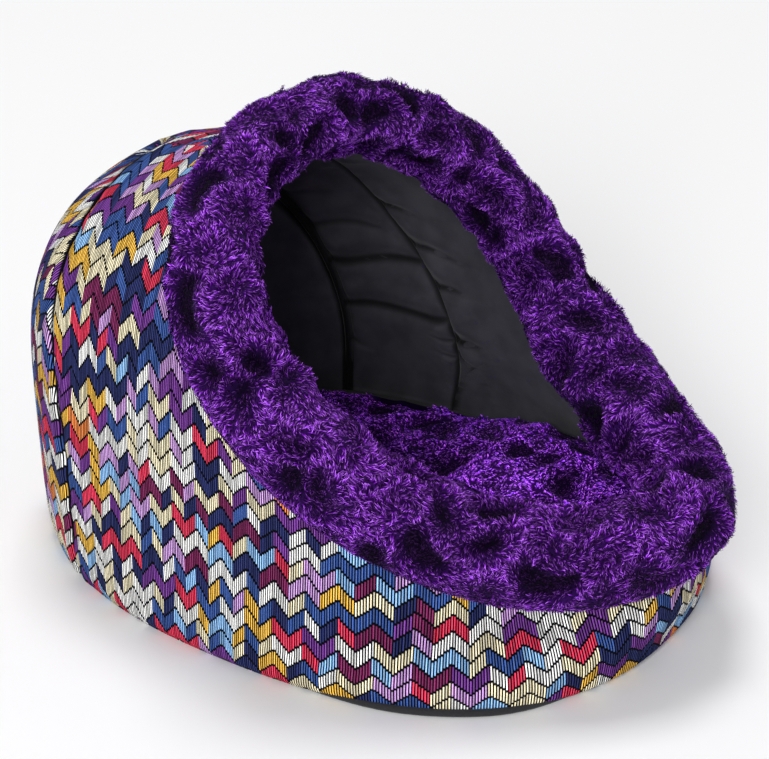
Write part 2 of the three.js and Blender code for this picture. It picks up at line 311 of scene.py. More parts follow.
def wall_point(angle, rise, depth):
    round_bed = wall_face(angle + 1e-3, rise) - wall_face(angle - 1e-3, rise)
    upward = wall_face(angle, rise + 1e-3) - wall_face(angle, rise - 1e-3)
    outward = np.cross(round_bed, upward)
    tilt = ease(0, 0.2, rise)
    outward = unit(outward * np.stack([np.ones_like(tilt), np.ones_like(tilt), tilt], axis=-1))
    wave = np.sin(5 * angle + 1) * np.sin(7 * rise + 2 * np.sin(3 * angle))
    return wall_face(angle, rise) + outward * (tilt * WALL_WAVE * wave - depth)[..., None]


front_top = wall_face(np.array(0.0), np.array(1.0))
print("wall meets the roll in front at height", round(float(front_top[2]), 3), "m")

# %% [markdown]
# ## Where the cloth stops under the roll
# Cloth and lining both run up until they meet the stuffed core of the roll. A walk up each upright line
# finds the last place that is still outside the core, so nothing pokes through the plush.

# %% Top of the cloth
PILE_DEPTH = 1.8 * MM
CLEAR_OF_CORE = 0.8 * MM


def core_clearance(points, angle):
    nearby = angle[..., None] + np.linspace(-0.6, 0.6, 49)
    centres = rim_centre(nearby)
    gap = np.linalg.norm(points[..., None, :] - centres, axis=-1) - rim_radius(nearby) + PILE_DEPTH
    return gap.min(axis=-1)


def top_of_cloth(angles, depth):
    rises = np.linspace(0.55, 1, 91)
    column = in_rows(angles, len(rises))
    climb = in_rows(rises, len(angles)).T
    points = wall_point(column, climb, np.full(climb.shape, depth))
    clear = core_clearance(points, column) > CLEAR_OF_CORE
    last = np.argmax(~clear, axis=1)
    last = np.where(clear.all(axis=1), len(rises), last)
    return rises[np.maximum(last - 1, 0)]


check_angles = np.linspace(-np.pi, np.pi, 9)
print("cloth stops at these shares of the wall:", top_of_cloth(check_angles, 0.0).round(2))

# %% [markdown]
# ## Sheets with two faces
# Each cloth panel is a thin closed sheet. Its shown face has many rows for folds, and its hidden face few.
# A column of the panel is a ring up the one face and down the other, and neighbouring rings are joined
# with quads.

# %% Sheet maker
def cloth_sheet(name, shown, hidden, closed, flat=None, inside=False):
    rings = np.concatenate([shown, hidden[:, ::-1]], axis=1)
    columns, size = rings.shape[:2]
    spans = columns if closed else columns - 1
    column, place = np.meshgrid(np.arange(spans), np.arange(size), indexing="ij")
    after = (place + 1) % size
    beside = (column + 1) % columns
    quads = [column * size + place, beside * size + place, beside * size + after, column * size + after]
    faces = np.stack(quads, axis=-1).reshape(-1, 4)
    ends = [(columns - 1) * size + np.arange(size), np.arange(size)[::-1]]
    if inside:
        faces = faces[:, ::-1]
        ends = [end[::-1] for end in ends]
    spread = None
    if flat is not None:
        ring_flat = np.concatenate([flat[0], flat[1][:, ::-1]], axis=1)
        corners = [ring_flat[column, place], ring_flat[column + 1, place]]
        corners += [ring_flat[column + 1, after], ring_flat[column, after]]
        spread = np.stack(corners, axis=2).reshape(-1, 2)
        if not closed:
            spread = np.concatenate([spread, ring_flat[-1], ring_flat[0][::-1]])
    return mesh_piece(name, rings.reshape(-1, 3), faces if closed else list(faces) + ends, spread)


def print_cloth(piece):
    area = surface_area(piece) / 2
    print(piece.name, triangle_count(piece), "triangles,", round(area, 3), "m2 of cloth")


# %% [markdown]
# ## Cloth lengths
# The ribs of the main panel stand upright. In front their planes fan out round the bed, and behind they run
# across it, so there a rib climbs one side, passes over the roof and comes down the other. Where the wall
# leans in, the ribs also bend back a little. A point's flat place is its plane, counted round the foot, and
# the length of the rib from the foot up to it. The two halves mirror each other.

# %% Lengths on the cloth
FAN_MIDDLE = -0.06
STRAIGHT = 0.2
FRONT_STRETCH = 0.89
SIDE_STRETCH = 1.15
BEND_BACK = 60 * MM
BEND_REACH = 85 * MM


def side_and_ahead(points):
    return np.abs(points[..., 0]), FAN_MIDDLE - points[..., 1]


def upright_planes(side, ahead):
    plane = np.where(ahead > 0, np.arctan2(side, ahead), np.pi / 2 - ahead / STRAIGHT)
    reach = np.where(ahead > 0, np.hypot(side, ahead), side)
    return plane, reach


def foot_reach():
    foot = foot_line(np.linspace(0, np.pi, 3001), 0.0, 0.0)
    plane, reach = upright_planes(*side_and_ahead(foot))
    return foot, np.maximum.accumulate(plane), reach


def rib_planes(points):
    side, ahead = side_and_ahead(points)
    _, foot_plane, reach_there = foot_reach()
    bent = ahead
    for _ in range(3):
        plane, reach = upright_planes(side, bent)
        inward = np.maximum(np.interp(plane, foot_plane, reach_there) - reach, 0)
        sideways = ease(1.0, 1.6, plane)
        bent = ahead + BEND_BACK * (1 - np.exp(-inward / BEND_REACH)) * sideways
    return upright_planes(side, bent)[0]


def foot_places():
    foot, plane, _ = foot_reach()
    steps = np.linalg.norm(np.diff(foot, axis=0), axis=1)
    steps = np.where(plane[1:] > np.pi / 2, np.abs(np.diff(foot[:, 1])), steps)
    steps = steps * mix(FRONT_STRETCH, SIDE_STRETCH, ease(1.3, 2.0, plane[1:]))
    return plane, np.concatenate([[0], np.cumsum(steps)])


foot_angles = np.linspace(-np.pi, np.pi, 4001)
foot_lengths = lengths_along(foot_line(foot_angles, 0.0, 0.0))
FOOT_ROUND = foot_lengths[-1]


def length_round(angle):
    return np.interp(angle, foot_angles, foot_lengths) - FOOT_ROUND / 2


print("foot is", round(FOOT_ROUND, 3), "m round")

# %% [markdown]
# Seen from the foot of its plane, a rib is a smooth curve that can be measured by its slope. Many points of
# the wall are sorted into planes and slopes, their mean distance gives each rib's curve, and its length is
# summed up slope by slope into a table.

# %% Rib lengths
PLANE_STEPS = 140
SLOPE_STEPS = 120
FRONT_ROWS_CLOSER = 1.24
SIDE_ROWS_CLOSER = 1.03


def rib_table():
    angle, rise = np.meshgrid(np.linspace(-np.pi, 0, 1201), np.linspace(0, 1, 301), indexing="ij")
    points = wall_face(angle, rise)
    plane, reach = upright_planes(*side_and_ahead(points))
    lift = points[..., 2] - FOOT_HEIGHT
    slope = np.arctan2(lift, reach)
    edges = [np.linspace(0, plane.max(), PLANE_STEPS + 1), np.linspace(0, np.pi / 2, SLOPE_STEPS + 1)]
    sorted_into = dict(bins=edges, x=plane.ravel(), y=slope.ravel())
    count = np.histogram2d(**sorted_into)[0]
    total = np.histogram2d(weights=np.hypot(reach, lift).ravel(), **sorted_into)[0]
    middles = (edges[1][1:] + edges[1][:-1]) / 2
    radius = np.empty_like(total)
    for number in range(PLANE_STEPS):
        known = count[number] > 0
        radius[number] = np.interp(middles, middles[known], total[number, known] / count[number, known])
    for _ in range(3):
        padded = np.pad(radius, 1, mode="edge")
        radius = (padded[:-2, 1:-1] + padded[2:, 1:-1] + padded[1:-1, :-2] + padded[1:-1, 2:]) / 4
    step = middles[1] - middles[0]
    speed = np.hypot(radius, np.gradient(radius, step, axis=1))
    return np.cumsum(speed, axis=1) * step - speed * step / 2, plane.max()


def read_table(table, row, column):
    row = np.clip(row, 0, table.shape[0] - 1.001)
    column = np.clip(column, 0, table.shape[1] - 1.001)
    low_row, low_column = row.astype(int), column.astype(int)
    near = mix(table[low_row, low_column], table[low_row, low_column + 1], column - low_column)
    far = mix(table[low_row + 1, low_column], table[low_row + 1, low_column + 1], column - low_column)
    return mix(near, far, row - low_row)


rib_lengths, last_plane = rib_table()


def flat_places(points, sides):
    plane, reach = upright_planes(*side_and_ahead(points))
    lift = points[..., 2] - FOOT_HEIGHT
    slope = np.arctan2(np.maximum(lift, 0), reach)
    row_place = plane / last_plane * PLANE_STEPS - 0.5
    up_rib = read_table(rib_lengths, row_place, slope / (np.pi / 2) * SLOPE_STEPS - 0.5)
    up_rib = up_rib * mix(FRONT_ROWS_CLOSER, SIDE_ROWS_CLOSER, ease(1.5, 2.2, plane))
    round_foot = np.interp(rib_planes(points), *foot_places())
    return np.stack([sides[:, None] * round_foot, up_rib + np.minimum(lift, 0)], axis=-1)


print("longest rib, over the roof:", round(float(rib_lengths.max()), 3), "m to the middle")

# %% [markdown]
# ## Arched seams
# Seen from behind, the back panel is an arch. Its seam starts at the foot on one side, runs up over the
# back and comes down on the other. The lining has two such arches, one well inside the other. An arch is
# counted from -1 at one foot to 1 at the other.

# %% Arch lines
ARCHES = {
    "outer": (math.radians(59), 0.65, 0.8),
    "lining_back": (math.radians(59.5), 0.45, 0.8),
    "lining_front": (math.radians(82), 0.84, 1.1),
}
ARCH_CROWN = 0.8
CHUNK = 4000


def arch_place(name, along):
    width, height, bow = ARCHES[name]
    across = signed_power(np.sin(along * np.pi / 2), bow)
    return np.pi + width * across, height * np.maximum(np.cos(along * np.pi / 2), 0) ** ARCH_CROWN


def arch_line(name, depth):
    angle, rise = arch_place(name, np.linspace(-1, 1, 401))
    return wall_point(angle, rise, np.full(angle.shape, depth))


def from_line(points, line):
    flat_points = points.reshape(-1, 3)
    lengths = lengths_along(line)
    distance = np.empty(len(flat_points))
    along = np.empty(len(flat_points))
    for start in range(0, len(flat_points), CHUNK):
        part = flat_points[start : start + CHUNK]
        gaps = np.linalg.norm(part[:, None] - line[None], axis=2)
        nearest = gaps.argmin(axis=1)
        distance[start : start + CHUNK] = gaps[np.arange(len(part)), nearest]
        along[start : start + CHUNK] = lengths[nearest]
    return distance.reshape(points.shape[:-1]), along.reshape(points.shape[:-1])


for arch in ARCHES:
    print(arch, "seam:", round(float(lengths_along(arch_line(arch, 0.0))[-1]), 3), "m")

# %% [markdown]
# ## Material tools
# Fabric looks are built from Blender's shader nodes. These helpers start a material with one Principled
# shader, add a sum of values or sockets, a random value that is the same in every render, a smooth step
# between limits, and a bump. Each finds its node tree from a socket that it is given.

# %% Material tools
def start_material(name, roughness, sheen, specular):
    material = bpy.data.materials.new(name)
    material.use_nodes = True
    shader = material.node_tree.nodes["Principled BSDF"]
    shader.inputs["Roughness"].default_value = roughness
    shader.inputs["Sheen Weight"].default_value = sheen
    shader.inputs["Specular IOR Level"].default_value = specular
    return material, material.node_tree, shader


def connect(socket, value):
    if isinstance(value, bpy.types.NodeSocket):
        socket.id_data.links.new(value, socket)
    else:
        socket.default_value = value


def sums(operation, *values):
    tree = next(value.id_data for value in values if isinstance(value, bpy.types.NodeSocket))
    node = tree.nodes.new("ShaderNodeMath")
    node.operation = operation
    for socket, value in zip(node.inputs, values):
        connect(socket, value)
    return node.outputs[0]


def dice(first, second):
    pair = first.id_data.nodes.new("ShaderNodeCombineXYZ")
    connect(pair.inputs["X"], first)
    connect(pair.inputs["Y"], second)
    node = first.id_data.nodes.new("ShaderNodeTexWhiteNoise")
    node.noise_dimensions = "2D"
    connect(node.inputs["Vector"], pair.outputs[0])
    return node.outputs["Value"]


def limits(value, low, high, start=0.0, end=1.0):
    node = value.id_data.nodes.new("ShaderNodeMapRange")
    node.interpolation_type = "SMOOTHSTEP"
    connect(node.inputs["Value"], value)
    for key, number in zip(("From Min", "From Max", "To Min", "To Max"), (low, high, start, end)):
        node.inputs[key].default_value = number
    return node.outputs["Result"]


def bumps(shader, height, strength, distance):
    node = shader.id_data.nodes.new("ShaderNodeBump")
    node.inputs["Strength"].default_value = strength
    node.inputs["Distance"].default_value = distance
    connect(node.inputs["Height"], height)
    connect(shader.inputs["Normal"], node.outputs["Normal"])


# %% [markdown]
# ## Zigzag cloth
# The cover is a traditional flame stitch: upright ribs about 2 mm wide, each a run of long stitches, whose
# ends step up and down to draw zigzag rows. Each row changes colour after half a zigzag, one or two. The
# rows, ribs and colour changes are counted from the flat place on the cloth, and seeded dice pick the yarn,
# so the order of colours is this file's own.

# %% Zigzag rows and ribs
ZIGZAG = 21.6 * MM
ZIGZAG_HEIGHT = 11.4 * MM
ROW = 12.8 * MM
RIBS_EACH = 13
RIB = ZIGZAG / RIBS_EACH
STITCH_WANDER = 0.9 * MM

zigzag_cloth, cloth_tree, cloth_shader = start_material("zigzag_cloth", 0.9, 0.0, 0.06)
flat_place = cloth_tree.nodes.new("ShaderNodeUVMap")
flat_place.uv_map = "cloth"
split = cloth_tree.nodes.new("ShaderNodeSeparateXYZ")
connect(split.inputs[0], flat_place.outputs["UV"])
place_round, place_up = split.outputs["X"], split.outputs["Y"]

rib_count = sums("DIVIDE", place_round, RIB)
rib = sums("FLOOR", rib_count)
rib_middle = sums("MULTIPLY", sums("ADD", rib, 0.5), RIB / ZIGZAG)
swing = sums("PINGPONG", rib_middle, 0.5)
lifted = sums("MULTIPLY_ADD", swing, 2 * ZIGZAG_HEIGHT, place_up)
stitch_wander = sums("MULTIPLY", dice(rib, 3.0), STITCH_WANDER)
row_count = sums("DIVIDE", sums("ADD", lifted, stitch_wander), ROW)
row = sums("FLOOR", row_count)
along_stitch = sums("FRACT", row_count)
across_rib = sums("FRACT", rib_count)
print("zigzag rows every", ROW, "m and ribs every", round(RIB, 5), "m")

# %% [markdown]
# The yarn colours are listed once, each with its share of the stitches. A block of one colour spans two
# zigzags, one or half of one, and it starts at a peak or a valley, give or take a rib.

# %% Yarn colours
YARNS = {
    "cream": (1.0, 0.90, 0.62, 0.11),
    "white": (1.0, 1.0, 0.98, 0.17),
    "navy": (0.030, 0.040, 0.15, 0.13),
    "mid_blue": (0.06, 0.13, 0.42, 0.12),
    "sky_blue": (0.32, 0.60, 1.0, 0.06),
    "lilac": (0.66, 0.38, 0.80, 0.09),
    "purple": (0.22, 0.06, 0.36, 0.10),
    "plum": (0.24, 0.03, 0.12, 0.05),
    "crimson": (0.90, 0.055, 0.12, 0.08),
    "orange": (1.0, 0.30, 0.08, 0.01),
    "gold": (1.0, 0.58, 0.09, 0.08),
}


def yarn_picker(pick):
    ramp = pick.id_data.nodes.new("ShaderNodeValToRGB")
    ramp.color_ramp.interpolation = "CONSTANT"
    stops = ramp.color_ramp.elements
    reached = 0.0
    for index, (red, green, blue, share) in enumerate(YARNS.values()):
        stop = stops[index] if index < 2 else stops.new(reached)
        stop.position = reached
        stop.color = (red, green, blue, 1)
        reached += share
    connect(ramp.inputs["Fac"], pick)
    return ramp.outputs["Color"]


def either(first, second, choose):
    return sums("MULTIPLY_ADD", choose, sums("SUBTRACT", second, first), first)


row_dice = sums("MULTIPLY", dice(row, 11.0), 14.0)
row_start = sums("MULTIPLY", sums("FLOOR", row_dice), 0.5)
dither = sums("MULTIPLY", dice(rib, row), 0.07)
block_count = sums("ADD", rib_middle, sums("ADD", row_start, dither))
yarn_pick = None
for blocks_each, chance in ((0.5, 1.0), (1.0, 0.55), (2.0, 0.25)):
    block = sums("FLOOR", sums("MULTIPLY", block_count, blocks_each))
    pick = dice(block, sums("ADD", row, 40.0 * blocks_each))
    if yarn_pick is None:
        yarn_pick = pick
    else:
        chooser = dice(block, sums("ADD", row, 200.0 + 40.0 * blocks_each))
        use_shorter = sums("LESS_THAN", chooser, chance)
        yarn_pick = either(yarn_pick, pick, use_shorter)
yarn = yarn_picker(yarn_pick)
print(len(YARNS), "yarn colours")

# %% [markdown]
# Between ribs and between stitch ends the black ground of the weave shows, over half of the width. Each
# stitch is rounded across its rib and dips at its ends, which the bump follows. The yarn is slubby: its
# strength changes from rib to rib and along each strand. Along the back seam, where the cloth is drawn in,
# a painted shade turns it dark, and where the front hem rests on the base a thin pale edge shows.

# %% Ground, shade and bump of the cloth
def stored(tree, name):
    node = tree.nodes.new("ShaderNodeAttribute")
    node.attribute_name = name
    return node.outputs["Fac"]


def colour_mix(share, first, second):
    node = share.id_data.nodes.new("ShaderNodeMix")
    node.data_type = "RGBA"
    for name, colour in (("A", first), ("B", second)):
        connect(node.inputs[name], (*colour, 1) if isinstance(colour, tuple) else colour)
    connect(node.inputs["Factor"], share)
    return node.outputs["Result"]


def scaled(colour, share):
    node = share.id_data.nodes.new("ShaderNodeVectorMath")
    node.operation = "SCALE"
    connect(node.inputs[0], colour)
    connect(node.inputs["Scale"], share)
    return node.outputs[0]


rib_round = sums("MULTIPLY", sums("PINGPONG", across_rib, 0.5), 2.0)
stitch_round = sums("MULTIPLY", sums("PINGPONG", along_stitch, 0.5), 2.0)
on_rib = limits(rib_round, 0.46, 0.60)
on_stitch = limits(stitch_round, 0.10, 0.22)
# Painted shade: along the back seam the yarn gives way to the black ground, where the cloth is drawn in.
out_of_painted_shade = limits(stored(cloth_tree, "painted_shade_mark"), 0.15, 0.7, 1.0, 0.0)
on_yarn = sums("MULTIPLY", sums("MULTIPLY", on_rib, on_stitch), out_of_painted_shade)
rib_dice = dice(rib, sums("ADD", row, 20.0))
strength = limits(rib_dice, 0, 1, 0.8, 1.5)
strand = cloth_tree.nodes.new("ShaderNodeTexNoise")
strand.inputs["Scale"].default_value = 900
strand_shade = limits(strand.outputs["Fac"], 0.25, 0.75, 0.65, 1.35)
shade = sums("MULTIPLY", strength, strand_shade)
woven = colour_mix(on_yarn, (0.002, 0.002, 0.004), scaled(yarn, shade))
edge = limits(stored(cloth_tree, "hem"), 0.4, 0.7)
hemmed = colour_mix(edge, woven, (0.55, 0.53, 0.56))
connect(cloth_shader.inputs["Base Color"], hemmed)
weave_height = sums("MULTIPLY", sums("SQRT", rib_round), on_stitch)
bumps(cloth_shader, weave_height, 0.6, 0.6 * MM)
print("zigzag cloth has", len(cloth_tree.nodes), "nodes")

# %% [markdown]
# ## Outer main panel
# One long strip of zigzag cloth on padding makes the front, both sides and the roof. It is made as upright
# columns all round the bed, closer together beside the arched back seam, so that the seam stays sharp.

# %% Main panel columns
def panel_columns(arch, arch_steps, front_steps):
    angle, low = arch_place(arch, np.linspace(0, 1, arch_steps, endpoint=False))
    front = np.linspace(ARCHES[arch][0], np.pi, front_steps)
    left = -np.pi + np.concatenate([angle - np.pi, front])
    low = np.concatenate([low, np.zeros(front_steps)])
    return np.concatenate([left, -left[-2:0:-1]]), np.concatenate([low, low[-2:0:-1]])


def row_spread(count):
    share = np.linspace(0, 1, count)
    return mix(share, (1 - np.cos(np.pi * share)) / 2, 0.75)


def rows_between(low, high, rows):
    return low[:, None] + (high - low)[:, None] * row_spread(rows)[None, :]


main_angles, main_low = panel_columns("outer", 70, 110)
print("main panel columns:", len(main_angles))

# %% [markdown]
# Beside the seam the cloth is drawn in and puffs up again, and under the roll it is gathered into small
# pleats. At the foot it rolls under. In front it stops on the base's edge, which shows there, and elsewhere
# it hangs down over that edge to the floor. Each of these is a small push inward or down from the wall.

# %% Face of the cover
SEAM_DRAW = 2.4 * MM
SEAM_PUFF = 0.8 * MM
SEAM_PUCKER = 0.6 * MM
FOOT_TUCK = 3.2 * MM
FOOT_DROP = 4.5 * MM
HEM_DROP = 2.4 * MM
PLEAT_DEPTH = 0.9 * MM
SOFT_LUMPS = 0.55 * MM
HEM_MIDDLE = -0.88
seam_line = arch_line("outer", 0.0)


def seam_draw(points):
    gap, along = from_line(points, seam_line)
    pucker = SEAM_PUCKER * np.sin(along / (4.2 * MM)) * np.exp(-gap / (9 * MM))
    puff = SEAM_PUFF * bell(gap - 9 * MM, 5 * MM)
    return SEAM_DRAW * bell(gap, 2.6 * MM) - puff + pucker


def base_shows(angle):
    from_middle = np.abs(np.angle(np.exp(1j * (angle - HEM_MIDDLE))))
    return 1 - ease(0.12, 0.7, from_middle)


def cover_face(angles, low, high, rows, depth, shown):
    rise = rows_between(low, high, rows)
    angle = in_rows(angles, rows)
    inward = np.full(rise.shape, depth)
    if shown:
        plain = wall_point(angle, rise, inward)
        inward = inward + seam_draw(plain)
        tuck = FOOT_TUCK * (1 - base_shows(angle))
        inward = inward + tuck * (1 - ease(0, 0.045, rise)) ** 2
        round_bed = length_round(np.angle(np.exp(1j * angle)))
        below_roll = (high[:, None] - rise) * 0.2
        pleat = np.sin(round_bed / (5.3 * MM) + 1.5 * np.sin(round_bed / 0.037))
        inward = inward + PLEAT_DEPTH * pleat * np.exp(-below_roll / (7 * MM))
        soft = np.sin(angle * 9 + 3 * rise) * np.sin(rise * 11 + angle * 2)
        soft = soft + np.sin(angle * 17 - 5 * rise) * 0.5
        inward = inward + SOFT_LUMPS * soft * ease(0.05, 0.25, rise)
    points = wall_point(angle, rise, inward)
    shows = base_shows(angle)
    points[..., 2] -= mix(FOOT_DROP, HEM_DROP, shows) * (1 - ease(0, 0.16, rise))
    return points


print("outer seam drawn in by", SEAM_DRAW, "m")

# %% [markdown]
# A panel of the cover has a shown face with all its relief, a hidden face behind the padding, and a plain
# face that is never seen and only gives each point its flat place, so that small bumps don't bend the ribs.

# %% Main panel
WALL_THICK = 9.0 * MM
GROOVE_WIDTH = 2.4 * MM
MAIN_ROWS = (46, 9)
groove_line = arch_line("outer", SEAM_DRAW)


def cover_panel(name, angles, low, highs, rows, closed, flat, hem):
    shown = cover_face(angles, low, highs[0], rows[0], 0.0, True)
    plain = cover_face(angles, low, highs[0], rows[0], 0.0, False)
    hidden = cover_face(angles, low, highs[1], rows[1], WALL_THICK, False)
    piece = cloth_sheet(name, shown, hidden, closed, (flat(plain), flat(hidden)))
    piece.data.materials.append(zigzag_cloth)
    # Painted shade along the back seam on the shown face; the hidden face is marked in full.
    painted_shade_mark = bell(from_line(shown, groove_line)[0], GROOVE_WIDTH)
    mark_points(piece, "painted_shade_mark", np.concatenate([painted_shade_mark, np.ones(hidden.shape[:2])], axis=1))
    mark_points(piece, "hem", np.concatenate([hem, np.zeros(hidden.shape[:2])], axis=1))
    print_cloth(piece)
    return piece


main_highs = [top_of_cloth(main_angles, depth) for depth in (0.0, WALL_THICK)]
main_sides = np.append(np.where(main_angles <= 0, -1.0, 1.0), 1.0)
main_foot = 1 - ease(0.006, 0.014, rows_between(main_low, main_highs[0], MAIN_ROWS[0]))
main_hem = main_foot * base_shows(main_angles)[:, None]


def main_flat(face):
    return flat_places(np.concatenate([face, face[:1]]), main_sides)


main_panel = cover_panel(
    "zigzag_main_panel", main_angles, main_low, main_highs, MAIN_ROWS, True, main_flat, main_hem
)

# %% [markdown]
# ## Outer back panel
# The arched panel behind is cut from the same cloth. Its rows start from the foot like those of the main
# panel, but its ribs are counted from its own middle, so the pattern breaks at the seam as it does on a
# sewn cover. Its sides are cut nearly straight, so beside the seam the ribs run along it.

# %% Back panel
BACK_HALF = 0.215
BACK_ROWS = (40, 8)
SIDES_STRAIGHT = 6
PATTERN_START = [0.41, 0.163]
ARCH_END = 0.985
back_angles, back_high = arch_place("outer", np.linspace(-ARCH_END, ARCH_END, 121))
back_low = np.zeros_like(back_high)
back_sides = np.where(back_angles < np.pi, 1.0, -1.0)


def back_flat(face):
    steps = np.linalg.norm(np.diff(face, axis=1), axis=-1)
    up = np.concatenate([np.zeros((len(face), 1)), np.cumsum(steps, axis=1)], axis=1)
    off = in_rows(np.abs(back_angles - np.pi), face.shape[1])
    half = len(face) // 2
    seam_off = np.interp(up, up[half:, -1][::-1], off[half:, 0][::-1])
    share = off / np.maximum(np.maximum(seam_off, off), 1e-6)
    wide = BACK_HALF * np.sqrt(1 - (0.97 * up / up.max()) ** SIDES_STRAIGHT)
    return np.stack([back_sides[:, None] * share * wide, up], axis=-1) + PATTERN_START


no_hem = np.zeros((len(back_angles), BACK_ROWS[0]))
back_panel = cover_panel(
    "zigzag_back_panel", back_angles, back_low, [back_high] * 2, BACK_ROWS, False, back_flat, no_hem
)

# %% [markdown]
# ## Lining cotton
# The lining is a plain dark cotton, almost black in the shade and charcoal where light reaches in. A fine
# weave and a coarser slub give the bump, a slow noise makes the dye a little uneven, and creases and seams
# get a painted shade, because little light gets into them.

# %% Lining material
lining_cotton, lining_tree, lining_shader = start_material("lining_cotton", 0.75, 0.14, 0.18)


def noise(tree, scale, detail):
    place = tree.nodes.new("ShaderNodeTexCoord")
    node = tree.nodes.new("ShaderNodeTexNoise")
    node.inputs["Scale"].default_value = scale
    node.inputs["Detail"].default_value = detail
    connect(node.inputs["Vector"], place.outputs["Object"])
    return node.outputs["Fac"]


def colour_between(share, first, second):
    ramp = share.id_data.nodes.new("ShaderNodeValToRGB")
    ramp.color_ramp.elements[0].color = (*first, 1)
    ramp.color_ramp.elements[1].color = (*second, 1)
    connect(ramp.inputs["Fac"], share)
    return ramp.outputs["Color"]


lining_dye = limits(noise(lining_tree, 60, 6), 0.3, 0.7)
lining_colour = colour_between(lining_dye, (0.045, 0.045, 0.054), (0.063, 0.063, 0.075))
# Painted shade: the colour is darkened where creases and seams are marked.
out_of_painted_fold_shade = limits(stored(lining_tree, "painted_shade_mark"), 0.05, 0.9, 1.0, 0.08)
connect(lining_shader.inputs["Base Color"], scaled(lining_colour, out_of_painted_fold_shade))
lining_slub = sums("MULTIPLY", noise(lining_tree, 120, 3), 0.8)
lining_weave = sums("ADD", noise(lining_tree, 1400, 2), lining_slub)
bumps(lining_shader, lining_weave, 0.3, 0.4 * MM)
print("lining cotton has", len(lining_tree.nodes), "nodes")

# %% [markdown]
# ## Folds of the lining
# The lining is sewn in with some ease, so it folds. Long creases run level across the middle band from seam
# to seam, and shorter ones start at the front seam on both sides. Each is a trough, steep below and gentle
# above, with a soft puff over it and a smaller one under it. Its height, slant, width, depth and ends are
# listed. Small puckers along the seams are placed by seeded dice.

# %% Fold maker
LINING_SEAM_DEPTH = 0.0145
MIDDLE_CREASES = [
    dict(height=0.166, slant=0.012, width=4.0, depth=1.6, start=-0.3, end=0.8),
    dict(height=0.138, slant=0.009, width=4.4, depth=2.4, start=-0.3, end=1.0),
    dict(height=0.113, slant=0.008, width=5.0, depth=3.6, start=-0.3, end=1.25),
    dict(height=0.075, slant=0.010, width=5.0, depth=3.6, start=-0.3, end=1.25),
    dict(height=0.069, slant=0.000, width=3.0, depth=3.0, start=0.68, end=1.3),
    dict(height=0.057, slant=-0.004, width=3.0, depth=2.6, start=0.72, end=1.3),
    dict(height=0.052, slant=-0.040, width=3.6, depth=2.8, start=-0.3, end=0.35),
]
FRONT_CREASES = [
    dict(height=0.165, slant=-0.10, width=3.6, depth=3.4, reach=22),
    dict(height=0.135, slant=0.00, width=4.4, depth=3.4, reach=40),
    dict(height=0.106, slant=0.12, width=4.0, depth=3.8, reach=24),
    dict(height=0.068, slant=-0.02, width=4.6, depth=5.0, reach=24),
    dict(height=0.058, slant=-1.0, width=4.0, depth=3.0, reach=40),
]


def crease(height, line, fold, fade):
    width, depth = fold["width"] * MM, fold["depth"] * MM * fade
    off = height - line
    side = np.where(off < 0, 0.5 * width, 1.5 * width)
    puff = 0.7 * depth * bell(off - 11 * MM, 8 * MM) + 0.6 * depth * bell(off + 10 * MM, 8 * MM)
    # The crease also gives a painted shade, darkest along the trough.
    painted_shade = bell(off, 0.6 * width) * fade * fold["depth"] / 4.6
    return depth * bell(off, side), puff, painted_shade


def folds(height, creases, place_line):
    trough, puff, painted_shade = np.zeros((3,) + height.shape)
    for fold in creases:
        line, fade = place_line(fold)
        cut, swell, shade_here = crease(height, line, fold, fade)
        trough = np.maximum(trough, cut)
        puff = puff + swell
        painted_shade = np.maximum(painted_shade, shade_here)
    return puff, trough, painted_shade


def middle_folds(height, across):
    def place_line(fold):
        wander = 2.4 * MM * np.sin(5 * across + 90 * fold["height"])
        starts = ease(fold["start"], fold["start"] + 0.3, across)
        ends = 1 - ease(fold["end"] - 0.35, fold["end"], across)
        return fold["height"] + fold["slant"] * across + wander, starts * ends

    return folds(height, MIDDLE_CREASES, place_line)


def front_folds(height, gap):
    def place_line(fold):
        wander = 1.2 * MM * np.sin(gap / (7 * MM))
        return fold["height"] + fold["slant"] * gap + wander, bell(gap, fold["reach"] * MM)

    return folds(height, FRONT_CREASES, place_line)


def puckers(gap, along, length, step, reach, height, seed):
    random = np.random.default_rng(seed)
    relief = np.zeros_like(gap)
    place = 0.0
    while place < length:
        place += step * random.uniform(0.6, 1.5)
        width = step * random.uniform(0.22, 0.42)
        fade = reach * random.uniform(0.4, 1.5)
        slant = random.uniform(-0.25, 0.25)
        tall = height * random.uniform(0.4, 1.2)
        relief += tall * np.exp(-(((along - place - slant * gap) / width) ** 2) - (gap / fade) ** 2)
    return relief


def arch_length(name):
    return float(lengths_along(arch_line(name, LINING_SEAM_DEPTH))[-1])


print("front lining seam on the inside:", round(arch_length("lining_front"), 3), "m")

# %% [markdown]
# ## Lining panels
# Three panels make the lining: a front band behind the roll, a middle band with the long creases, and an
# arched back. The back seam is a stout double line: both cut edges are turned under, so a welt lies between
# two deep grooves. Toward each seam the small puckers die out, so that the panels' edges meet.

# %% Lining relief
LINING_DEPTH = 15.0 * MM
LINING_THICK = 1.2 * MM
PADDING_GAP = 0.4 * MM
HIDDEN_EVERY = 5
LEFT_HIGHER = 9 * MM
WELT_HALF = 3.0 * MM
WELT_HEIGHT = 1.6 * MM
SLOW_WAVE = 1.4 * MM
FRONT_SEAM_DEEP = 3.0 * MM
BACK_SEAM_DEEP = 4.0 * MM
front_seam_line = arch_line("lining_front", LINING_DEPTH)
back_seam_line = arch_line("lining_back", LINING_DEPTH)


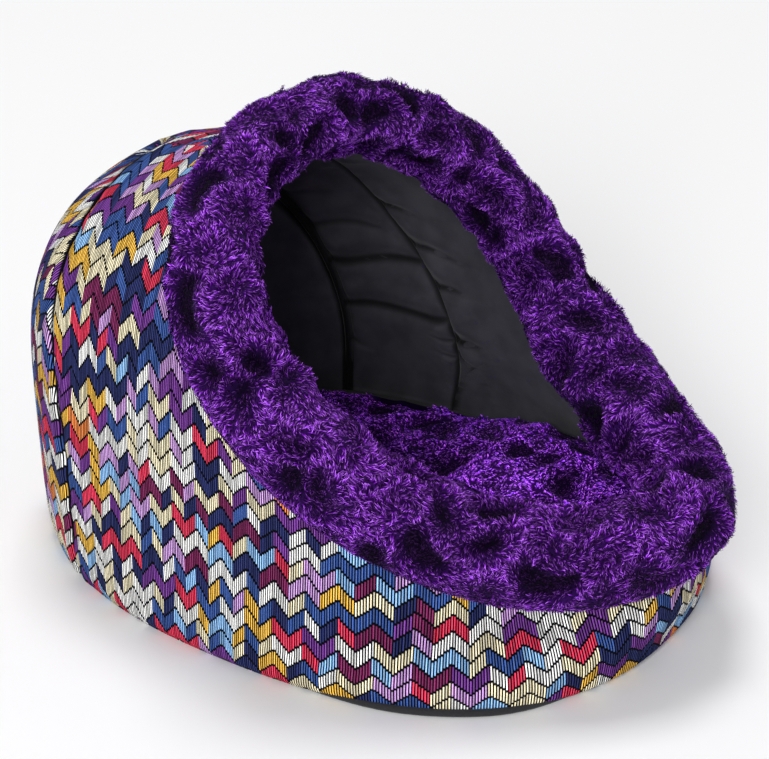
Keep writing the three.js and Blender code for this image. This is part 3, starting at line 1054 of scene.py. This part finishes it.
def lining_relief(angle, rise, across, gathers):
    plain = wall_point(angle, rise, np.full(rise.shape, LINING_DEPTH))
    height = plain[..., 2] + np.where(plain[..., 0] < 0, LEFT_HIGHER, 0)
    front_gap, front_along = from_line(plain, front_seam_line)
    back_gap, back_along = from_line(plain, back_seam_line)
    front_length, back_length = arch_length("lining_front"), arch_length("lining_back")
    relief = puckers(front_gap, front_along, front_length, 8 * MM, 14 * MM, 2.0 * MM, gathers)
    relief += puckers(back_gap, back_along, back_length, 20 * MM, 26 * MM, 2.2 * MM, gathers + 2)
    if across is None:
        puff, trough, painted_shade = front_folds(height, front_gap)
    else:
        puff, trough, painted_shade = middle_folds(height, across)
    seam_gap = np.minimum(front_gap, back_gap)
    relief = (relief + puff) * ease(0, 12 * MM, seam_gap) - trough * ease(0, 2 * MM, seam_gap)
    seam = FRONT_SEAM_DEEP * bell(front_gap, 1.6 * MM)
    welt = WELT_HEIGHT * bell(back_gap, 1.4 * MM)
    high_up = ease(0.12, 0.17, plain[..., 2])
    groove_width = mix(1.4, 4.6, high_up * (0 if across is None else 1)) * MM
    off_groove = back_gap - WELT_HALF
    grooves = bell(off_groove, np.where(off_groove < 0, 1.1 * MM, groove_width))
    slow = np.sin(angle * 7 + 4 * rise) * np.sin(rise * 9 + 3 * np.sin(angle * 2))
    relief = relief + SLOW_WAVE * slow - seam + welt - BACK_SEAM_DEEP * grooves
    # Painted shade along the front seam and over the back grooves.
    seam_shade = 0.85 * bell(front_gap, 2.8 * MM)
    groove_shade = bell(np.maximum(back_gap - 2.0 * MM, 0), groove_width + 1.2 * MM)
    painted_shade = np.maximum(np.maximum(painted_shade, seam_shade), np.maximum(grooves, 0.9 * groove_shade))
    return relief * ease(0.02, 0.12, rise), painted_shade


def lining_piece(name, angle, rise, across, closed, gathers):
    relief, painted_shade = lining_relief(angle, rise, across, gathers)
    shown_depth = np.maximum(LINING_DEPTH + relief, WALL_THICK + PADDING_GAP + LINING_THICK)
    shown = wall_point(angle, rise, shown_depth)
    hidden = wall_point(angle, rise, shown_depth - LINING_THICK)[:, ::HIDDEN_EVERY]
    piece = cloth_sheet(name, shown, hidden, closed, None, True)
    piece.data.materials.append(lining_cotton)
    # The painted shade is stored on the points of both faces.
    mark_points(piece, "painted_shade_mark", np.concatenate([painted_shade, painted_shade[:, ::HIDDEN_EVERY][:, ::-1]], axis=1))
    print_cloth(piece)
    return piece


# %% [markdown]
# The front band runs all round the inside behind the roll, so it is a closed ring like the main panel.

# %% Lining front band
FRONT_ROWS = 36
band_angles, band_low = panel_columns("lining_front", 190, 54)
band_rise = rows_between(band_low, top_of_cloth(band_angles, LINING_DEPTH), FRONT_ROWS)
band_angle = in_rows(band_angles, FRONT_ROWS)
lining_front = lining_piece("lining_front_sheet", band_angle, band_rise, None, True, 21)

# %% [markdown]
# The middle band lies between the two lining seams. Each row of its points is a line from the back seam to
# the front one, so a crease can run level across it from seam to seam.

# %% Lining middle band
MIDDLE_ROWS = 41
middle_along = np.linspace(-1, 1, 401)
low_angle, low_rise = arch_place("lining_back", middle_along)
high_angle, high_rise = arch_place("lining_front", middle_along)
middle_angle = rows_between(low_angle, high_angle, MIDDLE_ROWS)
middle_rise = rows_between(low_rise, high_rise, MIDDLE_ROWS)
middle_across = in_rows(row_spread(MIDDLE_ROWS), len(middle_along)).T
lining_middle = lining_piece("lining_middle_sheet", middle_angle, middle_rise, middle_across, False, 31)

# %% [markdown]
# The back panel is the arch at the far end. It has no creases, only the puckers of its seam.

# %% Lining back panel
ARCH_ROWS = 41
arch_angles, arch_high = arch_place("lining_back", np.linspace(-ARCH_END, ARCH_END, 161))
arch_rise = rows_between(np.zeros_like(arch_high), arch_high, ARCH_ROWS)
arch_angle = in_rows(arch_angles, ARCH_ROWS)
beyond_folds = np.full(arch_rise.shape, -1.0)
lining_back = lining_piece("lining_back_sheet", arch_angle, arch_rise, beyond_folds, False, 41)

# %% [markdown]
# ## Swirls of the plush
# The plush is a rose pile: its hairs whirl round broad hollows that stand about 34 mm apart in a loose,
# uneven order, some deep and dark and some faint, with brighter ridges between them. For any place on the
# cloth this finds the nearest hollow, how far off it is and in which direction, so that the core's relief
# and the hairs can follow the same swirls. A slow wave bends the hollows out of round.

# %% Swirl finder
SWIRL_BEND = 0.17


def swirl_centres(columns, rows, seed):
    random = np.random.default_rng(seed)
    column, row_number = np.meshgrid(np.arange(columns), np.arange(rows), indexing="ij")
    centres = np.stack([column, row_number + 0.5 * (column % 2)], axis=-1).astype(float)
    centres += random.uniform(-0.3, 0.3, centres.shape)
    hand = np.where(random.uniform(size=column.shape) < 0.6, 1.0, -1.0)
    return centres, hand, random.uniform(0.3, 1.25, column.shape)


def nearest_swirl(along, across, step_along, step_across, swirls, wrap):
    centres, hand, depth = swirls
    columns, rows = hand.shape
    wave = np.pi * along + 2 * np.pi * across / 5
    along = along + SWIRL_BEND * np.sin(wave)
    across = across + SWIRL_BEND * np.sin(wave + 2)
    best = np.full(along.shape, 1e9)
    found = [np.zeros_like(best) for _ in range(4)]
    for shift_along in (-2, -1, 0, 1, 2):
        column = np.floor(along + 0.5).astype(int) + shift_along
        inside = column % columns if wrap else np.clip(column, 0, columns - 1)
        base = np.floor(across - 0.5 * (inside % 2) + 0.5).astype(int)
        for shift_across in (-1, 0, 1):
            number = base + shift_across
            inner = number % rows if wrap else np.clip(number, 0, rows - 1)
            centre = centres[inside, inner]
            gap_along = (along - centre[..., 0] - (column - inside)) * step_along
            gap_across = (across - centre[..., 1] - (number - inner)) * step_across
            gap = np.hypot(gap_along * 0.85, gap_across * 1.1)
            closer = gap < best
            best = np.where(closer, gap, best)
            values = (gap_along, gap_across, hand[inside, inner], depth[inside, inner])
            found = [np.where(closer, value, old) for value, old in zip(values, found)]
    return best, *found


# %% [markdown]
# A hollow is pressed in by up to 7 mm. Between the hollows the pile stands up in low ridges that curve
# round them like arms.

# %% Swirl relief
SWIRL_STEP = 34.0 * MM
HOLLOW_WIDTH = 12.5 * MM
HOLLOW_DEPTH = 7.0 * MM
RIDGE_HEIGHT = 1.2 * MM
ARM_HEIGHT = 0.9 * MM


def sunk_share(gap, depth):
    return np.minimum(1.3 * depth * np.exp(-((gap / HOLLOW_WIDTH) ** 3)), 1)


def swirl_relief(gap, from_along, from_across, turning, depth):
    hollow = -HOLLOW_DEPTH * sunk_share(gap, depth)
    arms = np.cos(2 * np.arctan2(from_across, from_along) * turning + gap / (5 * MM))
    return RIDGE_HEIGHT + hollow + ARM_HEIGHT * arms * ease(6 * MM, 12 * MM, gap)


SWIRLS_ROUND = 5
RIM_SWIRLS = 2 * round(RIM_LENGTH / SWIRL_STEP / 2)
rim_swirls = swirl_centres(RIM_SWIRLS, SWIRLS_ROUND, 5)
print("swirls along the roll:", RIM_SWIRLS, "and", SWIRLS_ROUND, "round it")

# %% [markdown]
# ## Core of the roll
# The roll is a stuffed tube of the plush. Its core lies a pile's depth inside the roll's outer size and has
# the hollows of the swirls. On the mouth's side the tube bends the tight way, so there it bunches into soft
# cross folds. Its right limb is stuffed fuller than the left and bulges into the mouth.

# %% Roll surface
CORE_RINGS = 360
CORE_PLACES = 64
RIGHT_FULLER = 14 * MM
BUNCH_HEIGHT = 1.0 * MM
LUMP_HEIGHT = 1.2 * MM


def roll_swirl(length, turn, angle):
    step_along = RIM_LENGTH / RIM_SWIRLS
    step_across = 2 * np.pi * rim_radius(angle) / SWIRLS_ROUND
    place_along = (length % RIM_LENGTH) / step_along
    place_across = (turn % (2 * np.pi)) / (2 * np.pi) * SWIRLS_ROUND
    return nearest_swirl(place_along, place_across, step_along, step_across, rim_swirls, True)


def roll_surface(length, turn, relief=True):
    angle = np.interp(length % RIM_LENGTH, rim_lengths, rim_angles)
    along, away, through = rim_directions(angle)
    direction = away * np.cos(turn)[..., None] + through * np.sin(turn)[..., None]
    inner = ease(-0.2, 0.9, -np.cos(turn))
    fuller = RIGHT_FULLER * ease(0.5, 1.0, angle) * (1 - ease(1.4, 2.0, angle)) * inner
    radius = rim_radius(angle) - PILE_DEPTH + fuller
    seam = wall_guides(angle)[3] - rim_centre(angle)
    sewn = dot(direction, unit(seam))[..., 0]
    free = 1 - ease(0.6, 0.9, sewn)
    if relief:
        swirl = roll_swirl(length, turn, angle)
        bunch = np.sin(length / (6.4 * MM) + 2 * np.sin(length / 0.055)) * (0.5 - 0.5 * np.cos(turn))
        lumps = np.sin(length / 0.017 + 2 * np.sin(turn)) * np.sin(3 * turn + length / 0.03)
        radius = radius + free * (swirl_relief(*swirl) + BUNCH_HEIGHT * bunch + LUMP_HEIGHT * lumps)
    return rim_centre(angle) + direction * radius[..., None], direction, along, sewn, angle


core_length, core_turn = np.meshgrid(
    np.linspace(0, RIM_LENGTH, CORE_RINGS, endpoint=False),
    np.linspace(0, 2 * np.pi, CORE_PLACES, endpoint=False),
    indexing="ij",
)
core_points, _, _, _, core_angle = roll_surface(core_length, core_turn)
ring_number, ring_place = np.meshgrid(np.arange(CORE_RINGS), np.arange(CORE_PLACES), indexing="ij")
next_ring = (ring_number + 1) % CORE_RINGS * CORE_PLACES
next_place = (ring_place + 1) % CORE_PLACES
ring_start = ring_number * CORE_PLACES
core_corners = [
    ring_start + next_place,
    next_ring + next_place,
    next_ring + ring_place,
    ring_start + ring_place,
]
core_quads = np.stack(core_corners, axis=-1).reshape(-1, 4)
roll_core = mesh_piece("plush_roll_core", core_points.reshape(-1, 3), core_quads)
core_swirl = roll_swirl(core_length, core_turn, core_angle)
# Painted shade: the core is darkened down in the hollows.
mark_points(roll_core, "tone_and_painted_light", 1 - 0.92 * sunk_share(core_swirl[0], core_swirl[4]))
print("roll core:", triangle_count(roll_core), "triangles")

# %% [markdown]
# ## Plush pile
# The pile is short and dense, and it is real geometry: each hair lock is a narrow curved ribbon of one quad
# and one tip triangle. It lies low, runs round its swirl and curls sideways at the tip. Locks that share a
# clump lean together, as on a brushed cloth. Most locks are dull and a few are bright, and down in a hollow
# all are painted dark, a painted shade. Two numbers on each point, how near the tip and how bright the lock
# with its painted shade, feed the colour.

# %% Clumps
CLUMP = 5.0 * MM


def clump_dice(column, line, seed):
    mixed = (column * 73856093) ^ (line * 19349663) ^ (seed * 83492791)
    mixed = (mixed ^ (mixed >> 13)) * 1274126177
    return ((mixed ^ (mixed >> 16)) & 0xFFFF) / 65535.0


def clump_offset(along, across, seed):
    cell_along = np.floor(along / CLUMP).astype(np.int64)
    cell_across = np.floor(across / CLUMP).astype(np.int64)
    best = np.full(along.shape, 1e9)
    move_along = np.zeros_like(best)
    move_across = np.zeros_like(best)
    dice_clump = np.zeros((3,) + along.shape)
    for step_along in (-1, 0, 1):
        for step_across in (-1, 0, 1):
            column, line = cell_along + step_along, cell_across + step_across
            rolls = [clump_dice(column, line, seed + number) for number in range(5)]
            gap_along = (column + rolls[0]) * CLUMP - along
            gap_across = (line + rolls[1]) * CLUMP - across
            gap = np.hypot(gap_along, gap_across)
            closer = gap < best
            best = np.where(closer, gap, best)
            move_along = np.where(closer, gap_along, move_along)
            move_across = np.where(closer, gap_across, move_across)
            dice_clump = np.where(closer, np.stack(rolls[2:]), dice_clump)
    return move_along, move_across, dice_clump


print("clumps every", CLUMP, "m")

# %% [markdown]
# A lock's direction comes from its swirl, its clump and a little chance. Down in a hollow it is shorter.
# It is built as one array for all locks, because there are far too many to add one by one.

# %% Lock maker
def pile_piece(name, roots, normal, lean, shape, tone_and_painted_light):
    length, width, lower, upper, curl = (values[:, None] for values in shape)
    sideways = np.cross(normal, lean)
    turned = lean * np.cos(curl) + sideways * np.sin(curl)
    root_side = sideways * width / 2
    middle_side = (sideways * np.cos(curl / 2) - lean * np.sin(curl / 2)) * width / 2
    middle = roots + 0.5 * length * (normal * np.cos(lower) + lean * np.sin(lower))
    tip = middle + 0.55 * length * (normal * np.cos(upper) + turned * np.sin(upper))
    corners = [roots - root_side, roots + root_side, middle - middle_side, middle + middle_side, tip]
    points = np.stack(corners, axis=1)
    first = 5 * np.arange(len(roots))[:, None, None]
    faces = first + np.array([[0, 1, 3], [0, 3, 2], [2, 3, 4]])
    piece = mesh_piece(name, points.reshape(-1, 3), faces.reshape(-1, 3))
    mark_points(piece, "tip", np.tile([0, 0, 0.6, 0.6, 1], len(roots)))
    mark_points(piece, "tone_and_painted_light", np.repeat(tone_and_painted_light, 5))
    print(name, len(roots), "locks,", triangle_count(piece), "triangles")
    return piece


def lock_shapes(swirl, along, across, seed, full):
    gap, from_along, from_across, turning, depth = swirl
    random = np.random.default_rng(seed)
    move_along, move_across, clump = clump_offset(along, across, seed)
    outward = np.arctan2(from_across, from_along)
    facing = outward + turning * mix(1.5, 1.05, ease(5 * MM, 17 * MM, gap))
    facing = facing + (clump[0] - 0.5) * 1.2 + random.normal(0, 0.12, gap.shape)
    sunk = sunk_share(gap, depth)
    length = full * mix(1.0, 0.6, sunk) * random.uniform(0.75, 1.25, gap.shape) * (0.85 + 0.3 * clump[1])
    lean_along = np.cos(facing) + 0.3 * move_along / length
    lean_across = np.sin(facing) + 0.3 * move_across / length
    size = np.hypot(lean_along, lean_across)
    lower = np.radians(random.uniform(56, 80, gap.shape))
    upper = np.radians(random.uniform(78, 100, gap.shape))
    curl = turning * random.uniform(0.2, 1.0, gap.shape) + (clump[1] - 0.5) * 1.4
    width = random.uniform(0.42, 0.72, gap.shape) * MM
    tone_and_painted_light = 0.1 + 0.26 * clump[2] ** 2 + 3.0 * random.uniform(0, 1, gap.shape) ** 3.3
    # Painted shade: a lock down in a hollow is painted dark.
    tone_and_painted_light = mix(tone_and_painted_light, 0.03 + 0.04 * tone_and_painted_light, sunk)
    return lean_along / size, lean_across / size, (length, width, lower, upper, curl), tone_and_painted_light


# %% [markdown]
# ## Violet plush
# Close to the roots little light gets in, so there the pile's colour is painted darkest, a painted shade.
# It grows through deep violet to lilac tips. The core under it has a middling violet, broken by fine noise
# like a cut pile, and a painted shade makes it nearly black in the hollows.

# %% Plush materials
swirl_plush, plush_tree, plush_shader = start_material("swirl_plush", 0.7, 0.0, 0.04)
tip_colour = colour_between(stored(plush_tree, "tip"), (0.012, 0.0012, 0.036), (0.56, 0.17, 1.0))
middle_stop = tip_colour.node.color_ramp.elements.new(0.55)
middle_stop.color = (0.11, 0.006, 0.28, 1)
plush_colour = scaled(tip_colour, stored(plush_tree, "tone_and_painted_light"))
connect(plush_shader.inputs["Base Color"], plush_colour)

plush_root, root_tree, root_shader = start_material("plush_root", 0.9, 0.03, 0.05)
root_noise = noise(root_tree, 700, 4)
root_colour = colour_between(root_noise, (0.012, 0.0012, 0.038), (0.045, 0.006, 0.13))
root_tone = scaled(root_colour, stored(root_tree, "tone_and_painted_light"))
connect(root_shader.inputs["Base Color"], root_tone)
bumps(root_shader, root_noise, 0.8, 1.2 * MM)
roll_core.data.materials.append(plush_root)
print("plush materials made")

# %% [markdown]
# ## Pile of the roll
# Locks are scattered evenly over the roll, fewer where it is thin, and left out where it is sewn to the
# wall. Each takes its lean from its swirl. The pile is kept in three pieces, so that none is too heavy.

# %% Roll pile
ROLL_TRIES = 190000
ROLL_PILE = 4.6 * MM
MEAN_RADIUS = 0.031
SMALL_STEP = 0.4 * MM
SMALL_TURN = 0.012
SEWN_DOWN = 0.93


def roll_normals(length, turn):
    ahead = roll_surface(length + SMALL_STEP, turn)[0] - roll_surface(length - SMALL_STEP, turn)[0]
    around = roll_surface(length, turn + SMALL_TURN)[0] - roll_surface(length, turn - SMALL_TURN)[0]
    along, across = unit(ahead), unit(around)
    return along, across, unit(np.cross(across, along))


def scatter_roll(tries, seed):
    random = np.random.default_rng(seed)
    length = random.uniform(0, RIM_LENGTH, tries)
    turn = random.uniform(0, 2 * np.pi, tries)
    angle = np.interp(length, rim_lengths, rim_angles)
    keep = random.uniform(0, RADIUS_LEFT, tries) < rim_radius(angle)
    keep &= roll_surface(length, turn, False)[3] < SEWN_DOWN
    return length[keep], turn[keep]


lock_length, lock_turn = scatter_roll(ROLL_TRIES, 17)
lock_roots, lock_out, _, _, lock_angle = roll_surface(lock_length, lock_turn)
lock_along, lock_across, lock_normal = roll_normals(lock_length, lock_turn)
lock_normal = lock_normal * np.sign(dot(lock_normal, lock_out))
lock_swirl = roll_swirl(lock_length, lock_turn, lock_angle)
lean_a, lean_b, lock_shape, lock_tone = lock_shapes(
    lock_swirl, lock_length, lock_turn * MEAN_RADIUS, 23, ROLL_PILE
)
lock_lean = unit(lock_along * lean_a[:, None] + lock_across * lean_b[:, None])
roll_pile = []
for part in range(3):
    chosen = np.floor(3 * lock_length / RIM_LENGTH) == part
    piece = pile_piece(
        f"plush_roll_pile_{part + 1}",
        lock_roots[chosen],
        lock_normal[chosen],
        lock_lean[chosen],
        [values[chosen] for values in lock_shape],
        lock_tone[chosen],
    )
    piece.data.materials.append(swirl_plush)
    roll_pile.append(piece)

# %% [markdown]
# ## Floor cushion
# The cushion is a loose oval pad of the same plush. It starts as a flat pillow a little smaller than its
# solid, remeshed into small even faces, which cloth simulation needs.

# %% Cushion form
CUSHION_INSET = 20.0 * MM
CUSHION_FLOOR = 5.4 * MM
CUSHION_WAIST = 11.0 * MM
CUSHION_TOP = 19.0 * MM
CUSHION_COLUMNS = 120


def ring_faces(rings, columns):
    ring, column = np.meshgrid(np.arange(rings - 1), np.arange(columns), indexing="ij")
    beside = (column + 1) % columns
    low, high = ring * columns, (ring + 1) * columns
    walls = np.stack([low + column, low + beside, high + beside, high + column], axis=-1)
    ends = [np.arange(columns)[::-1], (rings - 1) * columns + np.arange(columns)]
    return list(walls.reshape(-1, 4)) + ends


def pillow_mesh(name):
    angle = np.linspace(0, 2 * np.pi, CUSHION_COLUMNS, endpoint=False)
    edge = foot_line(angle, CUSHION_INSET, 0.0)
    middle = np.array([0, FOOT_MIDDLE, 0])
    profile = [(0.3, CUSHION_FLOOR), (0.88, CUSHION_FLOOR), (0.97, 7.5 * MM), (1.0, CUSHION_WAIST)]
    for share in (0.985, 0.96, 0.92, 0.86, 0.78, 0.66, 0.5, 0.3):
        crown = (1 - share**2.4) ** 0.6
        profile.append((share, mix(CUSHION_WAIST, CUSHION_TOP, crown)))
    rings = [middle + (edge - middle) * share + UP * height for share, height in profile]
    return mesh_piece(name, np.concatenate(rings), ring_faces(len(profile), CUSHION_COLUMNS))


def applied(piece):
    depsgraph = bpy.context.evaluated_depsgraph_get()
    shaped = bpy.data.meshes.new_from_object(piece.evaluated_get(depsgraph))
    piece.modifiers.clear()
    old = piece.data
    piece.data = shaped
    bpy.data.meshes.remove(old)


cushion = pillow_mesh("plush_cushion_core")
remesh = cushion.modifiers.new("even_mesh", "REMESH")
remesh.mode = "VOXEL"
remesh.voxel_size = 5.5 * MM
applied(cushion)
print("pillow form:", len(cushion.data.vertices), "points")

# %% [markdown]
# Cloth simulation blows the pillow up with air pressure while its movement is capped, so it crowns as a
# filled cover does. It is fuller at the right in front, where it crowds the wall, and sags behind.

# %% Cushion blown up by simulation
CUSHION_CAP = 6.0 * MM
SAG_BEHIND = 9.0 * MM
SWELL_RIGHT = 15.0 * MM
SIM_STEPS = 20
flat_points = mesh_vectors(cushion.data, "co")
cloth = cushion.modifiers.new("air", "CLOTH")
cloth.settings.use_pressure = True
cloth.settings.uniform_pressure_force = 4
cloth.settings.effector_weights.gravity = 0
cloth.settings.quality = 5
cloth.collision_settings.use_collision = False
for step in range(1, SIM_STEPS + 1):
    scene.frame_set(step)
applied(cushion)
scene.frame_set(1)
moved = mesh_vectors(cushion.data, "co") - flat_points
reach = np.linalg.norm(moved, axis=1, keepdims=True)
moved = moved * np.minimum(1, CUSHION_CAP / np.maximum(reach, 1e-9))
less_sideways = np.array([0.35, 0.35, 1.0])
settled = flat_points + moved * less_sideways
raised = ease(CUSHION_FLOOR, CUSHION_TOP, settled[:, 2])
sag = SAG_BEHIND * ease(-0.04, 0.14, settled[:, 1])
swell = SWELL_RIGHT * ease(0.05, 0.13, settled[:, 0]) * (1 - ease(-0.04, 0.04, settled[:, 1]))
off_floor = ease(CUSHION_FLOOR, CUSHION_WAIST, settled[:, 2])
settled[:, 2] += off_floor * swell - raised * sag
settled[:, 2] = np.maximum(settled[:, 2], CUSHION_FLOOR)
cushion.data.vertices.foreach_set("co", settled.astype(np.float32).ravel())
print("simulation moved the cover by up to", round(float(reach.max() * 1000), 1), "mm before the cap")
smoother = cushion.modifiers.new("finer", "SUBSURF")
smoother.levels = 1
smoother.render_levels = 1
applied(cushion)

# %% [markdown]
# Last, the hollows of the swirls are pressed into the cushion's top, shallower than on the roll, and the
# slack of the cover makes slow waves.

# %% Cushion swirls
SHALLOWER = 0.7
SLACK_HEIGHT = 1.0 * MM
cushion_swirls = swirl_centres(14, 18, 9)


def cushion_swirl(points):
    along = (points[..., 0] + 0.21) / SWIRL_STEP
    across = (points[..., 1] + 0.25) / SWIRL_STEP
    return nearest_swirl(along, across, SWIRL_STEP, SWIRL_STEP, cushion_swirls, False)


cushion_points = mesh_vectors(cushion.data, "co")
cushion_normals = mesh_vectors(cushion.data, "normal")
on_top = ease(0.1, 0.7, cushion_normals[:, 2])
hollows = cushion_swirl(cushion_points)
press = swirl_relief(*hollows) * on_top * SHALLOWER
slack = np.sin(cushion_points[:, 0] / 0.021 + 2 * np.sin(cushion_points[:, 1] / 0.05))
slack = slack * on_top * SLACK_HEIGHT
pressed = cushion_points + cushion_normals * (press + slack)[:, None]
cushion.data.vertices.foreach_set("co", pressed.astype(np.float32).ravel())
cushion.data.update()
cushion.data.shade_smooth()
cushion.data.materials.append(plush_root)
# Painted light: the cushion core is painted brighter than the roll's core; painted shade in its hollows.
mark_points(cushion, "tone_and_painted_light", 1.5 - 1.2 * sunk_share(hollows[0], hollows[4]))
print("cushion core:", triangle_count(cushion), "triangles")
print("cushion core top at", round(float(pressed[:, 2].max()), 4))

# %% [markdown]
# ## Pile of the cushion
# The cushion's mesh no longer has rows and columns, so its locks are scattered over the triangles of its
# top and sides, by area, and lean in the same kind of swirls.

# %% Cushion pile
CUSHION_LOCKS = 62000
CUSHION_PILE = 3.0 * MM
CUSHION_PAINTED_LIGHT = 5.0
BARE_BELOW = 8 * MM


def scatter_mesh(mesh, count, seed):
    random = np.random.default_rng(seed)
    mesh.calc_loop_triangles()
    corners = np.empty(3 * len(mesh.loop_triangles), dtype=np.int32)
    mesh.loop_triangles.foreach_get("vertices", corners)
    corners = corners.reshape(-1, 3)
    points, normals = mesh_vectors(mesh, "co"), mesh_vectors(mesh, "normal")
    one, two, three = (points[corners[:, k]] for k in range(3))
    area = np.linalg.norm(np.cross(two - one, three - one), axis=1)
    not_below = normals[corners].mean(axis=1)[:, 2] > -0.1
    area = area * not_below * (points[corners].mean(axis=1)[:, 2] > BARE_BELOW)
    pick = random.choice(len(corners), size=count, p=area / area.sum())
    first, second = random.uniform(size=(2, count, 1))
    turn_back = first + second > 1
    first, second = np.where(turn_back, 1 - first, first), np.where(turn_back, 1 - second, second)
    third = 1 - first - second
    place = one[pick] * third + two[pick] * first + three[pick] * second
    facing = normals[corners[pick]]
    return place, unit(facing[:, 0] * third + facing[:, 1] * first + facing[:, 2] * second)


tuft_roots, tuft_normal = scatter_mesh(cushion.data, CUSHION_LOCKS, 29)
tuft_along = unit(np.array([1.0, 0, 0]) - tuft_normal * tuft_normal[:, :1])
tuft_across = np.cross(tuft_normal, tuft_along)
tuft_a, tuft_b, tuft_shape, tuft_tone = lock_shapes(
    cushion_swirl(tuft_roots), tuft_roots[:, 0], tuft_roots[:, 1], 37, CUSHION_PILE
)
tuft_lean = unit(tuft_along * tuft_a[:, None] + tuft_across * tuft_b[:, None])
# Painted light: in the hood's shade the cushion's locks are painted five times brighter than the roll's.
tuft_tone = tuft_tone * CUSHION_PAINTED_LIGHT
cushion_pile = pile_piece(
    "plush_cushion_pile", tuft_roots, tuft_normal, tuft_lean, tuft_shape, tuft_tone
)
cushion_pile.data.materials.append(swirl_plush)

# %% [markdown]
# ## Base
# A flat dark cloth closes the bottom and shows as a thin dark edge under the front. It is a plain oval
# plate with a soft rolled edge, in a close dark weave.

# %% Base
base_cloth, base_tree, base_shader = start_material("base_cloth", 0.8, 0.2, 0.2)
base_noise = noise(base_tree, 900, 3)
base_colour = colour_between(base_noise, (0.012, 0.012, 0.014), (0.035, 0.035, 0.04))
connect(base_shader.inputs["Base Color"], base_colour)
bumps(base_shader, base_noise, 0.5, 0.5 * MM)

BASE_COLUMNS = 160
BASE_RINGS = 9
BASE_TUCK = 7.0 * MM
BASE_PROUD = 3.5 * MM
BASE_HALF_THICK = 2.5 * MM
EDGE_ROLL = 2.4 * MM
base_angles = np.linspace(0, 2 * np.pi, BASE_COLUMNS, endpoint=False)
tucked = mix(BASE_TUCK, -BASE_PROUD, base_shows(base_angles))
base_rings = []
for turn in np.linspace(-np.pi / 2, np.pi / 2, BASE_RINGS):
    inset = tucked + EDGE_ROLL * (1 - np.cos(turn))
    base_rings.append(foot_line(base_angles, inset, BASE_HALF_THICK * (1 + np.sin(turn))))
base_faces = ring_faces(BASE_RINGS, BASE_COLUMNS)
base_piece = mesh_piece("base_cloth_plate", np.concatenate(base_rings), base_faces)
base_piece.data.materials.append(base_cloth)
print("base plate:", triangle_count(base_piece), "triangles")

# %% [markdown]
# ## What each piece is
# Every piece rides with the bed and stands in for its solid, which is hidden. Each is listed with its solid
# and a finish slot. For the cloth panels and the base, the flat size they are cut from is printed with the
# area.

# %% Declarations
STANDS_FOR = [
    (main_panel, "outer_main_panel", "zigzag_cloth"),
    (back_panel, "outer_back_panel", "zigzag_cloth"),
    (lining_front, "lining_front_band", "lining_cotton"),
    (lining_middle, "lining_middle_band", "lining_cotton"),
    (lining_back, "lining_back_panel", "lining_cotton"),
    (roll_core, "rim_bolster", "swirl_plush"),
    (cushion, "floor_cushion", "swirl_plush"),
    (base_piece, "base_panel", "base_cloth"),
]
for piece, node, slot in STANDS_FOR:
    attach(piece, "root")
    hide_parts(node)
for piece in roll_pile + [cushion_pile]:
    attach(piece, "root")


def cut_cloth(piece, flat):
    cloth_area = min(surface_area(piece) / 2, flat[0] * flat[1])
    print(piece.name, "cut from", flat, "m, area", round(cloth_area, 3))


cut_cloth(main_panel, (1.37, 0.34))
cut_cloth(back_panel, (0.44, 0.34))
cut_cloth(lining_front, (1.30, 0.24))
cut_cloth(lining_middle, (0.77, 0.20))
cut_cloth(lining_back, (0.42, 0.26))
cut_cloth(base_piece, (0.361, 0.463))
